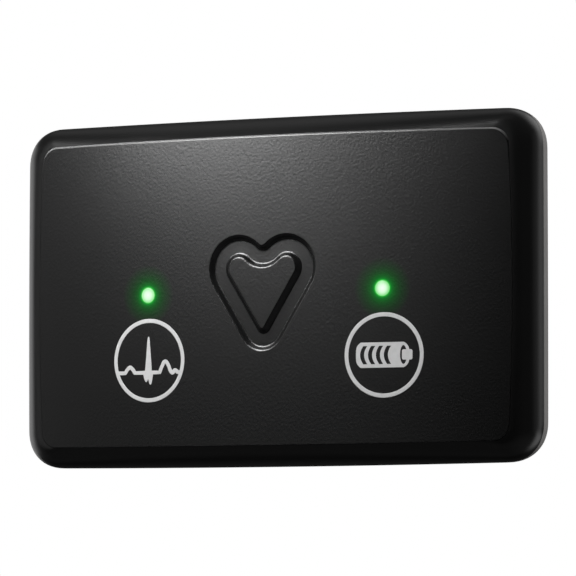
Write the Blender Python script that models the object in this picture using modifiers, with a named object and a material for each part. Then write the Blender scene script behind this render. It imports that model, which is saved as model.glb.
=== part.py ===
"""Holter monitor: a pocket recorder in a two-part case, built as an assembly of its separate pieces.

Metres, +Z up. The face with the event key looks along -Y and +X is to its right. The origin is the
middle of the case's footprint, at the level it stands on. A depth below is measured backwards from
the foremost point of the face, and a rise is measured up from the middle of the case.
"""

import math

import bmesh
import bpy
from mathutils import Matrix, Vector

# Gap between neighbouring pieces, how far a cutter runs past what it cuts, and where points merge
FIT_GAP = 0.0003
OVERRUN = 0.001
MERGE_DISTANCE = 0.0000003

# Case: outline at its widest line, and how far the face falls back from its middle to that line's ends
CASE_WIDTH = 0.09922
CASE_HEIGHT = 0.05952
CASE_CORNER = 0.00672
SIDE_BOW = 0.00006
TOP_BOW = 0.00031
FACE_CROWN = 0.0037
GIRTH_DEPTH = 0.00711
GIRTH_BAND = 0.00025

# Front shell: floor under the panel, and the rebate that takes the seal and the tongue
FLOOR_THICKNESS = 0.0014
FLOOR_MARGIN = 0.0005
LAND_WIDTH = 0.0023
REBATE_INSET = 0.0011
REBATE_DEPTH = 0.0016

# Face panel: soft-touch sheet let into the front shell, and the rim that the shell keeps round it
SIDE_RIM = 0.00461
TOP_RIM = 0.00346
PANEL_CORNER = 0.00275
PANEL_SIDE_BOW = 0.00076
PANEL_TOP_BOW = 0.00023
PANEL_THICKNESS = 0.0009

# Event key: a heart inside a sunken band. The radii are those of the band's outer foot
HEART_RISE = 0.00375
HEART_LOBE = 0.0047
HEART_LOBE_OFFSET = 0.0046
HEART_NOTCH = 0.0019
HEART_TIP = 0.0033
HEART_TIP_DROP = 0.0099
BAND_DEPTH = 0.0007
BAND_WIDTH = 0.0018
BAND_SLOPE = 0.0008
KEY_FLANGE_WIDTH = 0.0009
KEY_FLANGE_THICKNESS = 0.0008
KEY_TRAVEL = 0.0005

# Main board, and its clearance behind the floor, which comes nearest to it at its ends
BOARD_CLEARANCE = 0.00047
BOARD_THICKNESS = 0.0008
BOARD_INSET = 0.0040

# Tactile switch under the key
SWITCH_SIZE = 0.0052
SWITCH_CORNER = 0.0002
PLUNGER_RADIUS = 0.0013
PLUNGER_LENGTH = 0.0008

# Status lights: a light guide in the face and a lamp chip behind it, on each side
LIGHT_OFFSET = 0.02265
LIGHT_RISE = -0.0003
GUIDE_RADIUS = 0.00125
GUIDE_FLANGE_RADIUS = 0.0020
GUIDE_FLANGE_THICKNESS = 0.0007
GUIDE_RECESS = 0.0001
LAMP_SIZE = (0.0020, 0.0013, 0.0008)

# Rear shell: the small step at its rim, its rounding towards the back, and its walls
REAR_STEP = 0.0001
REAR_ROUNDING = 0.0068
BACK_WALL = 0.0016
INNER_ROUNDING = 0.0042
INNER_STRAIGHT = 0.0009
SEAL_THICKNESS = 0.0006

# Case screws, the front shell's bosses and the rear shell's posts
SCREW_EDGE_MARGIN = 0.0013
SHANK_RADIUS = 0.0008
HEAD_RADIUS = 0.0018
HEAD_THICKNESS = 0.0012
HEAD_RECESS = 0.0003
DRIVE_SLOT_WIDTH = 0.0005
DRIVE_SLOT_DEPTH = 0.0006
NOSE_RADIUS = 0.0024
NOSE_LENGTH = 0.0020
SHOULDER_RADIUS = 0.0034
SHOULDER_ROOT = 0.0007
POST_RADIUS = 0.0040
POST_ROOT = 0.0003

# Battery bay in the rear shell, and its hinged door
BAY_SIDE_MARGIN = 0.0187
BAY_TOP_MARGIN = 0.0141
BAY_BOTTOM_MARGIN = 0.0117
BAY_CORNER = 0.0014
BAY_RIM = 0.0021
BAY_FLOOR_THICKNESS = 0.0008
BAY_STANDOFF = 0.0006
BAY_ROOT = 0.0004
DOOR_LAP = 0.0022
DOOR_CORNER = 0.0030
DOOR_FOOT_CORNER = 0.0004
DOOR_THICKNESS = 0.0015
DOOR_LEDGE = 0.0028
DOOR_SEAL_WIDTH = 0.0010
HINGE_RADIUS = 0.0012
TRUNNION_RADIUS = 0.0005
TRUNNION_LENGTH = 0.0012
SCOOP_RADIUS = 0.0120
SCOOP_DEPTH = 0.0009

# Battery pack, its contact block on the board, and the memory card beside it
BATTERY_THICKNESS = 0.0037
CONTACT_ZONE = 0.0070
BATTERY_BEVEL = 0.0006
BLADE_WIDTH = 0.0012
BLADE_THICKNESS = 0.0004
BLADE_PITCH = 0.0028
BLADE_STEPS = (-1, 0, 1)
CONTACT_BLOCK_WIDTH = 0.0100
CONTACT_BLOCK_HEIGHT = 0.0030
CONTACT_CLEARANCE = 0.0017
CONTACT_BLOCK_CORNER = 0.0003
CARD_WIDTH = 0.0110
CARD_HEIGHT = 0.0150
CARD_THICKNESS = 0.0007
CARD_CORNER = 0.0008
CARD_PROUD = 0.0018
CARD_SIDE_MARGIN = 0.0010
CARD_FOOT_MARGIN = 0.0009
HOLDER_WALL = 0.0004

# Patient-lead socket in the top edge
SOCKET_WIDTH = 0.0150
SOCKET_SETBACK = 0.0037
SNOUT_WIDTH = 0.0130
SNOUT_THICKNESS = 0.0030
SNOUT_SETBACK = 0.0022
SOCKET_BACK_ROOM = 0.0007
SOCKET_WALL = 0.0004
SOCKET_FLOOR = 0.0010
INSULATOR_HEIGHT = 0.0016
PIN_RADIUS = 0.0003
PIN_LENGTH = 0.0032
PIN_PITCH = 0.0016
PIN_STEPS = (-3, -2, -1, 0, 1, 2, 3)

# Electronics on the front of the board: width, height and thickness, and place as shares of its halves
CHIP_CORNER = 0.0001
PROCESSOR_SIZE = (0.0090, 0.0090, 0.0010)
PROCESSOR_SHARES = (0.34, 0.60)
ECG_CHIP_SIZE = (0.0070, 0.0070, 0.0010)
ECG_CHIP_SHARES = (-0.34, 0.60)
ANTENNA_SIZE = (0.0060, 0.0020, 0.0008)
ANTENNA_SHARES = (0.74, -0.62)
CRYSTAL_SIZE = (0.0032, 0.0016, 0.0008)
CRYSTAL_SHARES = (0.14, 0.78)
MOTION_CHIP_SIZE = (0.0030, 0.0030, 0.0009)
MOTION_CHIP_SHARES = (-0.56, 0.60)
RADIO_CAN_SIZE = (0.0110, 0.0090, 0.0009)
RADIO_CAN_SHARES = (0.66, 0.54)
RADIO_CAN_WALL = 0.0002
BUZZER_RADIUS = 0.0045
BUZZER_THICKNESS = 0.0018
BUZZER_HOLE_RADIUS = 0.0008
BUZZER_HOLE_DEPTH = 0.0005
BUZZER_SHARES = (-0.32, -0.62)
CLOCK_CELL_RADIUS = 0.0034
CLOCK_CELL_THICKNESS = 0.0012
CLOCK_CELL_STEP = 0.0004
CLOCK_CELL_SHARES = (0.36, -0.66)

# Exponents of the superellipses that round the case's corners and the panel's corners
CASE_ROUNDNESS = 2.24
PANEL_ROUNDNESS = 2.05

# Steps along the curved outlines
CORNER_STEPS = 6
SIDE_STEPS = 2
TOP_STEPS = 8
RIM_STEPS = 6
INNER_STEPS = 3
CAP_STEPS = 3
HEART_TIP_STEPS = 3
HEART_LOBE_STEPS = 8
HEART_NOTCH_STEPS = 2
ROUND_STEPS = 24
SMALL_ROUND_STEPS = 16

# Edges between faces at more than this angle are shaded sharp
SHARP_ANGLE = math.radians(35)

# Places that the levels below follow
HALF_WIDTH = CASE_WIDTH / 2
HALF_HEIGHT = CASE_HEIGHT / 2
FACE_RADIUS = (HALF_WIDTH**2 + FACE_CROWN**2) / (2 * FACE_CROWN)
BOARD_END_SAG = FACE_RADIUS - math.sqrt(FACE_RADIUS**2 - (HALF_WIDTH - BOARD_INSET) ** 2)

# Levels through the case, front to back
PANEL_FLOOR = PANEL_THICKNESS + FIT_GAP
FLOOR_BACK = PANEL_FLOOR + FLOOR_THICKNESS
KEY_BACK = FLOOR_BACK + FIT_GAP + KEY_FLANGE_THICKNESS
BOARD_FRONT = FLOOR_BACK + BOARD_END_SAG + BOARD_CLEARANCE
BOARD_BACK = BOARD_FRONT + BOARD_THICKNESS
NOSE_BACK = BOARD_BACK + NOSE_LENGTH
SPLIT_DEPTH = GIRTH_DEPTH + GIRTH_BAND
REBATE_FLOOR = SPLIT_DEPTH - REBATE_DEPTH
SEAL_FRONT = REBATE_FLOOR + FIT_GAP
TONGUE_FRONT = SEAL_FRONT + SEAL_THICKNESS + FIT_GAP
REAR_FRONT = SPLIT_DEPTH + FIT_GAP
BAY_FLOOR_FRONT = BOARD_BACK + BAY_STANDOFF
BAY_FLOOR_BACK = BAY_FLOOR_FRONT + BAY_FLOOR_THICKNESS
BATTERY_FRONT = BAY_FLOOR_BACK + FIT_GAP
DOOR_FRONT = BATTERY_FRONT + BATTERY_THICKNESS + FIT_GAP
CASE_DEPTH = DOOR_FRONT + DOOR_THICKNESS
CONTACT_BACK = DOOR_FRONT - CONTACT_CLEARANCE
LEDGE_DEPTH = CASE_DEPTH - DOOR_LEDGE
HINGE_DEPTH = CASE_DEPTH - HINGE_RADIUS
BACK_INNER = CASE_DEPTH - BACK_WALL
HEAD_BACK = CASE_DEPTH - HEAD_RECESS
HEAD_FRONT = HEAD_BACK - HEAD_THICKNESS
SNOUT_BACK = BACK_INNER - SOCKET_BACK_ROOM
SNOUT_FRONT = SNOUT_BACK - SNOUT_THICKNESS

# Places across the case
STANDING_RISE = HALF_HEIGHT + TOP_BOW
BAY_HALF_WIDTH = HALF_WIDTH - BAY_SIDE_MARGIN
BAY_TOP = HALF_HEIGHT - BAY_TOP_MARGIN
BAY_BOTTOM = -HALF_HEIGHT + BAY_BOTTOM_MARGIN
DOOR_HALF_WIDTH = BAY_HALF_WIDTH + DOOR_LAP
DOOR_TOP = BAY_TOP + DOOR_LAP
HINGE_RISE = BAY_BOTTOM - DOOR_SEAL_WIDTH - FIT_GAP - HINGE_RADIUS
DOOR_BOTTOM = HINGE_RISE - HINGE_RADIUS
TUB_HALF_WIDTH = DOOR_HALF_WIDTH + FIT_GAP + BAY_RIM
TUB_TOP = DOOR_TOP + FIT_GAP + BAY_RIM
TUB_BOTTOM = DOOR_BOTTOM - FIT_GAP - BAY_RIM
HOLDER_WIDTH = CARD_WIDTH + 2 * (HOLDER_WALL + FIT_GAP)
HOLDER_X = BAY_HALF_WIDTH - CARD_SIDE_MARGIN - HOLDER_WIDTH / 2
HOLDER_BOTTOM = BAY_BOTTOM + CARD_FOOT_MARGIN
BATTERY_LEFT = -BAY_HALF_WIDTH + FIT_GAP
BATTERY_RIGHT = HOLDER_X - HOLDER_WIDTH / 2 - CARD_SIDE_MARGIN
BATTERY_TOP = BAY_TOP - CONTACT_ZONE
BLADE_BOTTOM = BATTERY_TOP + FIT_GAP
CONTACT_BLOCK_X = (BATTERY_LEFT + BATTERY_RIGHT) / 2
CONTACT_BLOCK_BOTTOM = BLADE_BOTTOM + BLADE_THICKNESS + FIT_GAP
SOCKET_BOTTOM = TUB_TOP + FIT_GAP
SOCKET_TOP = HALF_HEIGHT - SOCKET_SETBACK
SNOUT_TOP = HALF_HEIGHT - SNOUT_SETBACK
SCREW_INSET = BOARD_INSET + SCREW_EDGE_MARGIN + FIT_GAP + NOSE_RADIUS
SCREW_PLACES = [
    (side * (HALF_WIDTH - SCREW_INSET), level * (HALF_HEIGHT - SCREW_INSET))
    for side in (-1, 1)
    for level in (-1, 1)
]

monitor = bpy.data.collections.new("holter_monitor")
cutters = bpy.data.collections.new("cutters")


def clear_scene():
    for thing in list(bpy.data.objects):
        bpy.data.objects.remove(thing, do_unlink=True)
    bpy.context.scene.collection.children.link(monitor)
    bpy.context.scene.collection.children.link(cutters)


def finish_named(name, colour, roughness, metallic=0.0):
    """A Principled material of one linear colour, made once."""
    if name in bpy.data.materials:
        return bpy.data.materials[name]
    made = bpy.data.materials.new(name)
    made.use_nodes = True
    shader = made.node_tree.nodes["Principled BSDF"]
    shader.inputs["Base Color"].default_value = (*colour, 1.0)
    shader.inputs["Roughness"].default_value = roughness
    shader.inputs["Metallic"].default_value = metallic
    return made


def gloss_black_abs():
    return finish_named("gloss_black_abs", (0.008, 0.008, 0.009), 0.3)


def grained_soft_touch():
    return finish_named("grained_soft_touch", (0.012, 0.012, 0.013), 0.6)


def grey_abs():
    return finish_named("grey_abs", (0.18, 0.17, 0.165), 0.45)


def silicone_rubber():
    return finish_named("silicone_rubber", (0.10, 0.10, 0.11), 0.7)


def clear_polycarbonate():
    return finish_named("clear_polycarbonate", (0.55, 0.80, 0.60), 0.15)


def board_laminate():
    return finish_named("green_board_laminate", (0.01, 0.10, 0.04), 0.45)


def chip_resin():
    return finish_named("black_chip_resin", (0.012, 0.012, 0.012), 0.55)


def black_nylon():
    return finish_named("black_nylon", (0.02, 0.02, 0.02), 0.5)


def battery_wrap():
    return finish_named("battery_wrap", (0.05, 0.12, 0.30), 0.4)


def steel():
    return finish_named("stainless_steel", (0.55, 0.55, 0.56), 0.3, 1.0)


def gold_plate():
    return finish_named("gold_plate", (0.85, 0.58, 0.24), 0.25, 1.0)


def ceramic():
    return finish_named("white_ceramic", (0.60, 0.58, 0.54), 0.4)


def place(x, depth, rise):
    """World point of a place on the case."""
    return Vector((x, depth - CASE_DEPTH / 2, rise + STANDING_RISE))


def sag(x):
    """Depth of the cylindrical face at a distance from its upright middle line."""
    return FACE_RADIUS - math.sqrt(FACE_RADIUS * FACE_RADIUS - x * x)


def quarter(steps):
    """Angles that divide a quarter turn evenly."""
    return [math.pi / 2 * step / steps for step in range(steps + 1)]


def bowed_outline(half_width, half_height, corner, roundness, side_bow, top_bow):
    """Anticlockwise (x, rise) points of a rectangle with superellipse corners and bowed sides."""
    corner_x = half_width - corner
    corner_rise = half_height - corner
    arc = [
        (
            corner_x + corner * math.cos(angle) ** (2 / roundness),
            corner_rise + corner * math.sin(angle) ** (2 / roundness),
        )
        for angle in quarter(CORNER_STEPS)[:-1]
    ]
    arc.append((corner_x, half_height))
    side = [(half_width, corner_rise * (2 * step / SIDE_STEPS - 1)) for step in range(1, SIDE_STEPS)]
    top = [(corner_x * (1 - 2 * step / TOP_STEPS), half_height) for step in range(1, TOP_STEPS)]
    upper = side + arc + top + [(-x, rise) for x, rise in reversed(arc)]
    points = upper + [(-x, -rise) for x, rise in upper]
    return [
        (
            x * (1 + side_bow / half_width * (1 - (rise / half_height) ** 2)),
            rise * (1 + top_bow / half_height * (1 - (x / half_width) ** 2)),
        )
        for x, rise in points
    ]


def case_outline(inset=0.0):
    """The case's outline, or one inside it whose corners tighten with the inset but never close."""
    corner = CASE_CORNER * CASE_CORNER / (CASE_CORNER + inset)
    return bowed_outline(
        HALF_WIDTH - inset, HALF_HEIGHT - inset, corner, CASE_ROUNDNESS, SIDE_BOW, TOP_BOW
    )


def panel_outline(inset=0.0):
    return bowed_outline(
        HALF_WIDTH - SIDE_RIM - inset,
        HALF_HEIGHT - TOP_RIM - inset,
        PANEL_CORNER,
        PANEL_ROUNDNESS,
        PANEL_SIDE_BOW,
        PANEL_TOP_BOW,
    )


def plain_outline(half_width, bottom, top, top_corner, bottom_corner):
    """Anticlockwise points of an upright rectangle with round corners."""
    corners = (
        (1, bottom + bottom_corner, bottom_corner, -math.pi / 2),
        (1, top - top_corner, top_corner, 0),
        (-1, top - top_corner, top_corner, math.pi / 2),
        (-1, bottom + bottom_corner, bottom_corner, math.pi),
    )
    points = []
    for side, centre_rise, corner, start in corners:
        centre_x = side * (half_width - corner)
        for angle in quarter(CORNER_STEPS // 2):
            turn = start + angle
            points.append((centre_x + corner * math.cos(turn), centre_rise + corner * math.sin(turn)))
    return points


def bay_outline(outset=0.0):
    corner = BAY_CORNER + outset
    return plain_outline(
        BAY_HALF_WIDTH + outset, BAY_BOTTOM - outset, BAY_TOP + outset, corner, corner
    )


def circle_outline(x, rise, radius):
    turns = [2 * math.pi * step / SMALL_ROUND_STEPS for step in range(SMALL_ROUND_STEPS)]
    return [(x + radius * math.cos(turn), rise + radius * math.sin(turn)) for turn in turns]


def heart_outline(outset=0.0):
    """The heart, anticlockwise from its tip: tip, lobe and notch arcs, all grown by the same outset."""
    notch_rise = math.sqrt((HEART_LOBE + HEART_NOTCH) ** 2 - HEART_LOBE_OFFSET**2)
    meeting = math.atan2(notch_rise, -HEART_LOBE_OFFSET)
    reach = math.hypot(HEART_LOBE_OFFSET, HEART_TIP_DROP)
    flank = math.atan2(HEART_TIP_DROP, HEART_LOBE_OFFSET)
    flank -= math.acos((HEART_TIP - HEART_LOBE) / reach)
    tip = HEART_TIP + outset
    lobe = HEART_LOBE + outset
    notch = HEART_NOTCH - outset
    right = []
    for step in range(HEART_TIP_STEPS + 1):
        turn = -math.pi / 2 + (flank + math.pi / 2) * step / HEART_TIP_STEPS
        right.append((tip * math.cos(turn), -HEART_TIP_DROP + tip * math.sin(turn)))
    for step in range(HEART_LOBE_STEPS + 1):
        turn = flank + (meeting - flank) * step / HEART_LOBE_STEPS
        right.append((HEART_LOBE_OFFSET + lobe * math.cos(turn), lobe * math.sin(turn)))
    for step in range(1, HEART_NOTCH_STEPS + 1):
        turn = meeting - math.pi + (math.pi / 2 - meeting) * step / HEART_NOTCH_STEPS
        right.append((notch * math.cos(turn), notch_rise + notch * math.sin(turn)))
    left = [(-x, rise) for x, rise in reversed(right[1:-1])]
    return [(x, HEART_RISE + rise) for x, rise in right + left]


def ring(outline, depth, sagging=0.0):
    """World points of an outline at one depth, set back with the face where sagging is 1."""
    return [place(x, depth + sagging * sag(x), rise) for x, rise in outline]


def face_cap(outline, depth):
    """Rings that close an outline over the cylindrical face, from its middle point outwards."""
    rings = [[place(0, depth, 0)]]
    for step in range(1, CAP_STEPS + 1):
        share = step / CAP_STEPS
        rings.append(ring([(x * share, rise * share) for x, rise in outline], depth, 1))
    return rings


def added(name, mesh, group, finish=None):
    thing = bpy.data.objects.new(name, mesh)
    group.objects.link(thing)
    if finish:
        mesh.materials.append(finish)
    if group is cutters:
        thing.hide_render = True
        thing.display_type = "WIRE"
    return thing


def loft(name, rings, origin, group, finish=None):
    """A closed solid through rings of equally many points. A ring of one point closes an end."""
    form = bmesh.new()
    loops = [[form.verts.new(point - origin) for point in points] for points in rings]
    for near, far in zip(loops, loops[1:]):
        count = max(len(near), len(far))
        for index in range(count):
            after = (index + 1) % count
            corners = [near[index % len(near)], near[after % len(near)]]
            corners += [far[after % len(far)], far[index % len(far)]]
            form.faces.new(list(dict.fromkeys(corners)))
    for loop in (loops[0], loops[-1]):
        if len(loop) > 1:
            form.faces.new(loop)
    bmesh.ops.recalc_face_normals(form, faces=form.faces)
    mesh = bpy.data.meshes.new(name)
    form.to_mesh(mesh)
    form.free()
    mesh.shade_smooth()
    mesh.set_sharp_from_angle(angle=SHARP_ANGLE)
    thing = added(name, mesh, group, finish)
    thing.location = origin
    return thing


def evaluated_mesh(thing):
    """The thing's shape with its modifiers or its curve's extrusion worked in, as one closed mesh."""
    bpy.context.view_layer.update()
    graph = bpy.context.evaluated_depsgraph_get()
    mesh = bpy.data.meshes.new_from_object(thing.evaluated_get(graph))
    form = bmesh.new()
    form.from_mesh(mesh)
    bmesh.ops.remove_doubles(form, verts=form.verts, dist=MERGE_DISTANCE)
    bmesh.ops.recalc_face_normals(form, faces=form.faces)
    form.to_mesh(mesh)
    form.free()
    return mesh


def plate(name, outlines, front, back, group, finish=None):
    """A flat piece across the case between two depths, from its outline and those of its holes."""
    curve = bpy.data.curves.new(name, "CURVE")
    curve.dimensions = "2D"
    curve.fill_mode = "BOTH"
    curve.extrude = (back - front) / 2
    for outline in outlines:
        spline = curve.splines.new("POLY")
        spline.points.add(len(outline) - 1)
        for point, (x, rise) in zip(spline.points, outline):
            point.co = (x, rise, 0, 1)
        spline.use_cyclic_u = True
    source = added(name, curve, cutters)
    source.location = place(0, (front + back) / 2, 0)
    source.rotation_euler.x = math.pi / 2
    mesh = evaluated_mesh(source)
    mesh.name = name
    mesh.materials.clear()
    made = added(name, mesh, group, finish)
    made.matrix_world = source.matrix_world.copy()
    bpy.data.objects.remove(source, do_unlink=True)
    made.name = name
    return made


def block(name, size, x, front, bottom, group, finish=None, bevel=0.0):
    """A box from its width, height and thickness, by its middle, its front depth and its lower end."""
    width, height, thickness = size
    form = bmesh.new()
    bmesh.ops.create_cube(form, size=1, matrix=Matrix.Diagonal((width, thickness, height, 1)))
    mesh = bpy.data.meshes.new(name)
    form.to_mesh(mesh)
    form.free()
    thing = added(name, mesh, group, finish)
    thing.location = place(x, front + thickness / 2, bottom + height / 2)
    if bevel:
        rounding = thing.modifiers.new("rounding", "BEVEL")
        rounding.width = bevel
        rounding.segments = 1
    return thing


def turned(name, profile, x, depth, rise, group, finish=None, steps=ROUND_STEPS):
    """A piece turned about a line through the case, from (radius, depth) points of its profile.

    A profile that starts off the line is closed into a loop, which gives a ring.
    """
    mesh = bpy.data.meshes.new(name)
    edges = [(index, index + 1) for index in range(len(profile) - 1)]
    if profile[0][0] > 0:
        edges.append((len(profile) - 1, 0))
    mesh.from_pydata([(radius, 0, level) for radius, level in reversed(profile)], edges, [])
    thing = added(name, mesh, group, finish)
    thing.location = place(x, depth, rise)
    thing.rotation_euler.x = -math.pi / 2
    turning = thing.modifiers.new("turning", "SCREW")
    turning.steps = steps
    turning.render_steps = steps
    turning.use_merge_vertices = True
    turning.merge_threshold = MERGE_DISTANCE
    turning.use_smooth_shade = True
    return thing


def copies(name, source, offsets, group, finish=None):
    """Numbered copies of a solid, one at each of the offsets from it, that share one mesh."""
    mesh = evaluated_mesh(source)
    mesh.materials.clear()
    if finish:
        mesh.materials.append(finish)
    made = []
    for number, offset in enumerate(offsets, 1):
        piece = added(f"{name}_{number}", mesh, group)
        piece.matrix_world = Matrix.Translation(offset) @ source.matrix_world
        made.append(piece)
    bpy.data.objects.remove(source, do_unlink=True)
    return made


def at_screws(name, source, group, finish=None):
    """Copies of a solid that stands on the case's middle line, one for each case screw."""
    return copies(name, source, [(x, 0, rise) for x, rise in SCREW_PLACES], group, finish)


def combine(target, tool, operation):
    step = target.modifiers.new(tool.name, "BOOLEAN")
    step.operation = operation
    step.object = tool


def cut(target, *tools):
    for tool in tools:
        combine(target, tool, "DIFFERENCE")


def join(target, *tools):
    for tool in tools:
        combine(target, tool, "UNION")


def on_axis(name, axis_point, *pieces):
    """An empty on a joint's axis that carries the pieces which move with it."""
    pivot = bpy.data.objects.new(name, None)
    monitor.objects.link(pivot)
    pivot.location = axis_point
    for piece in pieces:
        piece.parent = pivot
        piece.matrix_parent_inverse = Matrix.Translation(-axis_point)


def rim_rings():
    """Rings of the rim, from the case's widest line forwards and inwards to the panel's edge.

    In section the rim is one arc that ends square to the face. Where it is deeper than wide it sets
    out at a tilt, and meets the panel in a crease.
    """
    rings = []
    for step in reversed(range(RIM_STEPS + 1)):
        points = []
        for (inner_x, inner_rise), (outer_x, outer_rise) in zip(panel_outline(), case_outline()):
            edge = sag(inner_x)
            wide = math.hypot(outer_x - inner_x, outer_rise - inner_rise)
            deep = GIRTH_DEPTH - edge
            start = math.asin(max(0, 1 - 2 * wide**2 / (wide**2 + deep**2)))
            turn = start + (math.pi / 2 - start) * step / RIM_STEPS
            outward = (math.sin(turn) - math.sin(start)) / (1 - math.sin(start))
            backward = (math.cos(start) - math.cos(turn)) / math.cos(start)
            x = inner_x + (outer_x - inner_x) * outward
            rise = inner_rise + (outer_rise - inner_rise) * outward
            points.append(place(x, edge + deep * backward, rise))
        rings.append(points)
    return rings


def boss_cores():
    """The four bosses behind the floor: a shoulder for the board and a nose that goes through it."""
    hole = SHANK_RADIUS + FIT_GAP
    corner_sag = sag(HALF_WIDTH - SCREW_INSET)
    profile = [
        (0, corner_sag + FLOOR_BACK - SHOULDER_ROOT),
        (SHOULDER_RADIUS, corner_sag + FLOOR_BACK - SHOULDER_ROOT),
        (SHOULDER_RADIUS, BOARD_FRONT - FIT_GAP),
        (NOSE_RADIUS, BOARD_FRONT - FIT_GAP),
        (NOSE_RADIUS, NOSE_BACK),
        (hole, NOSE_BACK),
        (hole, BOARD_FRONT - FIT_GAP),
        (0, BOARD_FRONT - FIT_GAP),
    ]
    boss = turned("boss_core", profile, 0, 0, 0, cutters, steps=SMALL_ROUND_STEPS)
    return at_screws("boss", boss, cutters)


def build_front_shell():
    rings = face_cap(panel_outline(FLOOR_MARGIN), FLOOR_BACK)
    rings += [
        ring(case_outline(LAND_WIDTH), REBATE_FLOOR),
        ring(case_outline(REBATE_INSET), REBATE_FLOOR),
        ring(case_outline(REBATE_INSET), SPLIT_DEPTH),
        ring(case_outline(), SPLIT_DEPTH),
    ]
    rings += rim_rings()
    rings += reversed(face_cap(panel_outline(), PANEL_FLOOR))
    shell = loft("front_shell", rings, place(0, SPLIT_DEPTH, 0), monitor, gloss_black_abs())
    join(shell, *boss_cores())
    opening_back = FLOOR_BACK + OVERRUN
    opening = [heart_outline()]
    cut(shell, plate("key_opening", opening, PANEL_FLOOR - OVERRUN, opening_back, cutters))
    for side in (-1, 1):
        cut(shell, guide_hole("floor_light_hole", side))


def guide_hole(name, side):
    radius = GUIDE_RADIUS + FIT_GAP
    back = sag(LIGHT_OFFSET) + FLOOR_BACK + OVERRUN
    profile = [(0, -OVERRUN), (radius, -OVERRUN), (radius, back), (0, back)]
    return turned(
        name, profile, side * LIGHT_OFFSET, 0, LIGHT_RISE, cutters, steps=SMALL_ROUND_STEPS
    )


def build_face_panel():
    edge = panel_outline(FIT_GAP)
    rings = face_cap(edge, 0)
    rings += reversed(face_cap(edge, PANEL_THICKNESS))
    panel = loft("face_panel", rings, place(0, 0, 0), monitor, grained_soft_touch())
    flare = BAND_SLOPE * (1 + FIT_GAP / BAND_DEPTH)
    band = [
        ring(heart_outline(flare), -FIT_GAP, 1),
        ring(heart_outline(), BAND_DEPTH, 1),
        ring(heart_outline(), PANEL_THICKNESS + OVERRUN, 1),
    ]
    cut(panel, loft("band_opening", band, place(0, 0, 0), cutters))
    for side in (-1, 1):
        cut(panel, guide_hole("panel_light_hole", side))


def build_event_key():
    """The raised heart, the floor of the sunken band round it, and the flange that holds it in."""
    island_foot = -(FIT_GAP + BAND_WIDTH)
    flange_front = FLOOR_BACK + FIT_GAP
    axis_point = place(0, 0, HEART_RISE)
    rings = [
        ring(heart_outline(island_foot - BAND_SLOPE), 0, 1),
        ring(heart_outline(island_foot), BAND_DEPTH, 1),
        ring(heart_outline(-FIT_GAP), BAND_DEPTH, 1),
        ring(heart_outline(-FIT_GAP), flange_front, 1),
        ring(heart_outline(KEY_FLANGE_WIDTH), flange_front, 1),
        ring(heart_outline(KEY_FLANGE_WIDTH), KEY_BACK),
    ]
    loft("event_key", rings, axis_point, monitor, grained_soft_touch())


def build_tactile_switch():
    front = KEY_BACK + KEY_TRAVEL + FIT_GAP
    thickness = BOARD_FRONT - FIT_GAP - front
    size = (SWITCH_SIZE, SWITCH_SIZE, thickness)
    bottom = HEART_RISE - SWITCH_SIZE / 2
    body = block(
        "tactile_switch", size, 0, front, bottom, monitor, black_nylon(), bevel=SWITCH_CORNER
    )
    plunger_front = KEY_BACK + FIT_GAP
    plunger_back = plunger_front + PLUNGER_LENGTH
    bore_radius = PLUNGER_RADIUS + FIT_GAP
    bore_back = plunger_back + KEY_TRAVEL + FIT_GAP
    bore = [(0, front - OVERRUN), (bore_radius, front - OVERRUN)]
    bore += [(bore_radius, bore_back), (0, bore_back)]
    cut(body, turned("plunger_bore", bore, 0, 0, HEART_RISE, cutters, steps=SMALL_ROUND_STEPS))
    profile = [(0, 0), (PLUNGER_RADIUS, 0), (PLUNGER_RADIUS, PLUNGER_LENGTH), (0, PLUNGER_LENGTH)]
    turned(
        "switch_plunger",
        profile,
        0,
        plunger_front,
        HEART_RISE,
        monitor,
        steel(),
        steps=SMALL_ROUND_STEPS,
    )


def build_status_light(name, side):
    width, height, thickness = LAMP_SIZE
    lamp_front = BOARD_FRONT - FIT_GAP - thickness
    block(
        f"lamp_chip_{name}",
        LAMP_SIZE,
        side * LIGHT_OFFSET,
        lamp_front,
        LIGHT_RISE - height / 2,
        monitor,
        ceramic(),
    )
    front = sag(LIGHT_OFFSET) + GUIDE_RECESS
    flange_front = sag(LIGHT_OFFSET + GUIDE_FLANGE_RADIUS) + FLOOR_BACK + FIT_GAP
    flange_back = flange_front + GUIDE_FLANGE_THICKNESS
    profile = [
        (0, front),
        (GUIDE_RADIUS, front),
        (GUIDE_RADIUS, flange_front),
        (GUIDE_FLANGE_RADIUS, flange_front),
        (GUIDE_FLANGE_RADIUS, flange_back),
        (GUIDE_RADIUS, flange_back),
        (GUIDE_RADIUS, lamp_front - FIT_GAP),
        (0, lamp_front - FIT_GAP),
    ]
    turned(
        f"light_guide_{name}",
        profile,
        side * LIGHT_OFFSET,
        0,
        LIGHT_RISE,
        monitor,
        clear_polycarbonate(),
        steps=SMALL_ROUND_STEPS,
    )


def build_case_seal():
    outlines = [case_outline(REBATE_INSET + FIT_GAP), case_outline(LAND_WIDTH)]
    back = SEAL_FRONT + SEAL_THICKNESS
    plate("case_seal", outlines, SEAL_FRONT, back, monitor, silicone_rubber())


def back_rings(straight_depth, end_depth, start_inset, rounding, steps):
    """Rings of a wall that rounds in from a straight stretch to the flat of the back."""
    rings = []
    for angle in quarter(steps):
        inset = start_inset + rounding * (1 - math.cos(angle))
        depth = straight_depth + (end_depth - straight_depth) * math.sin(angle)
        rings.append(ring(case_outline(inset), depth))
    return rings


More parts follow.
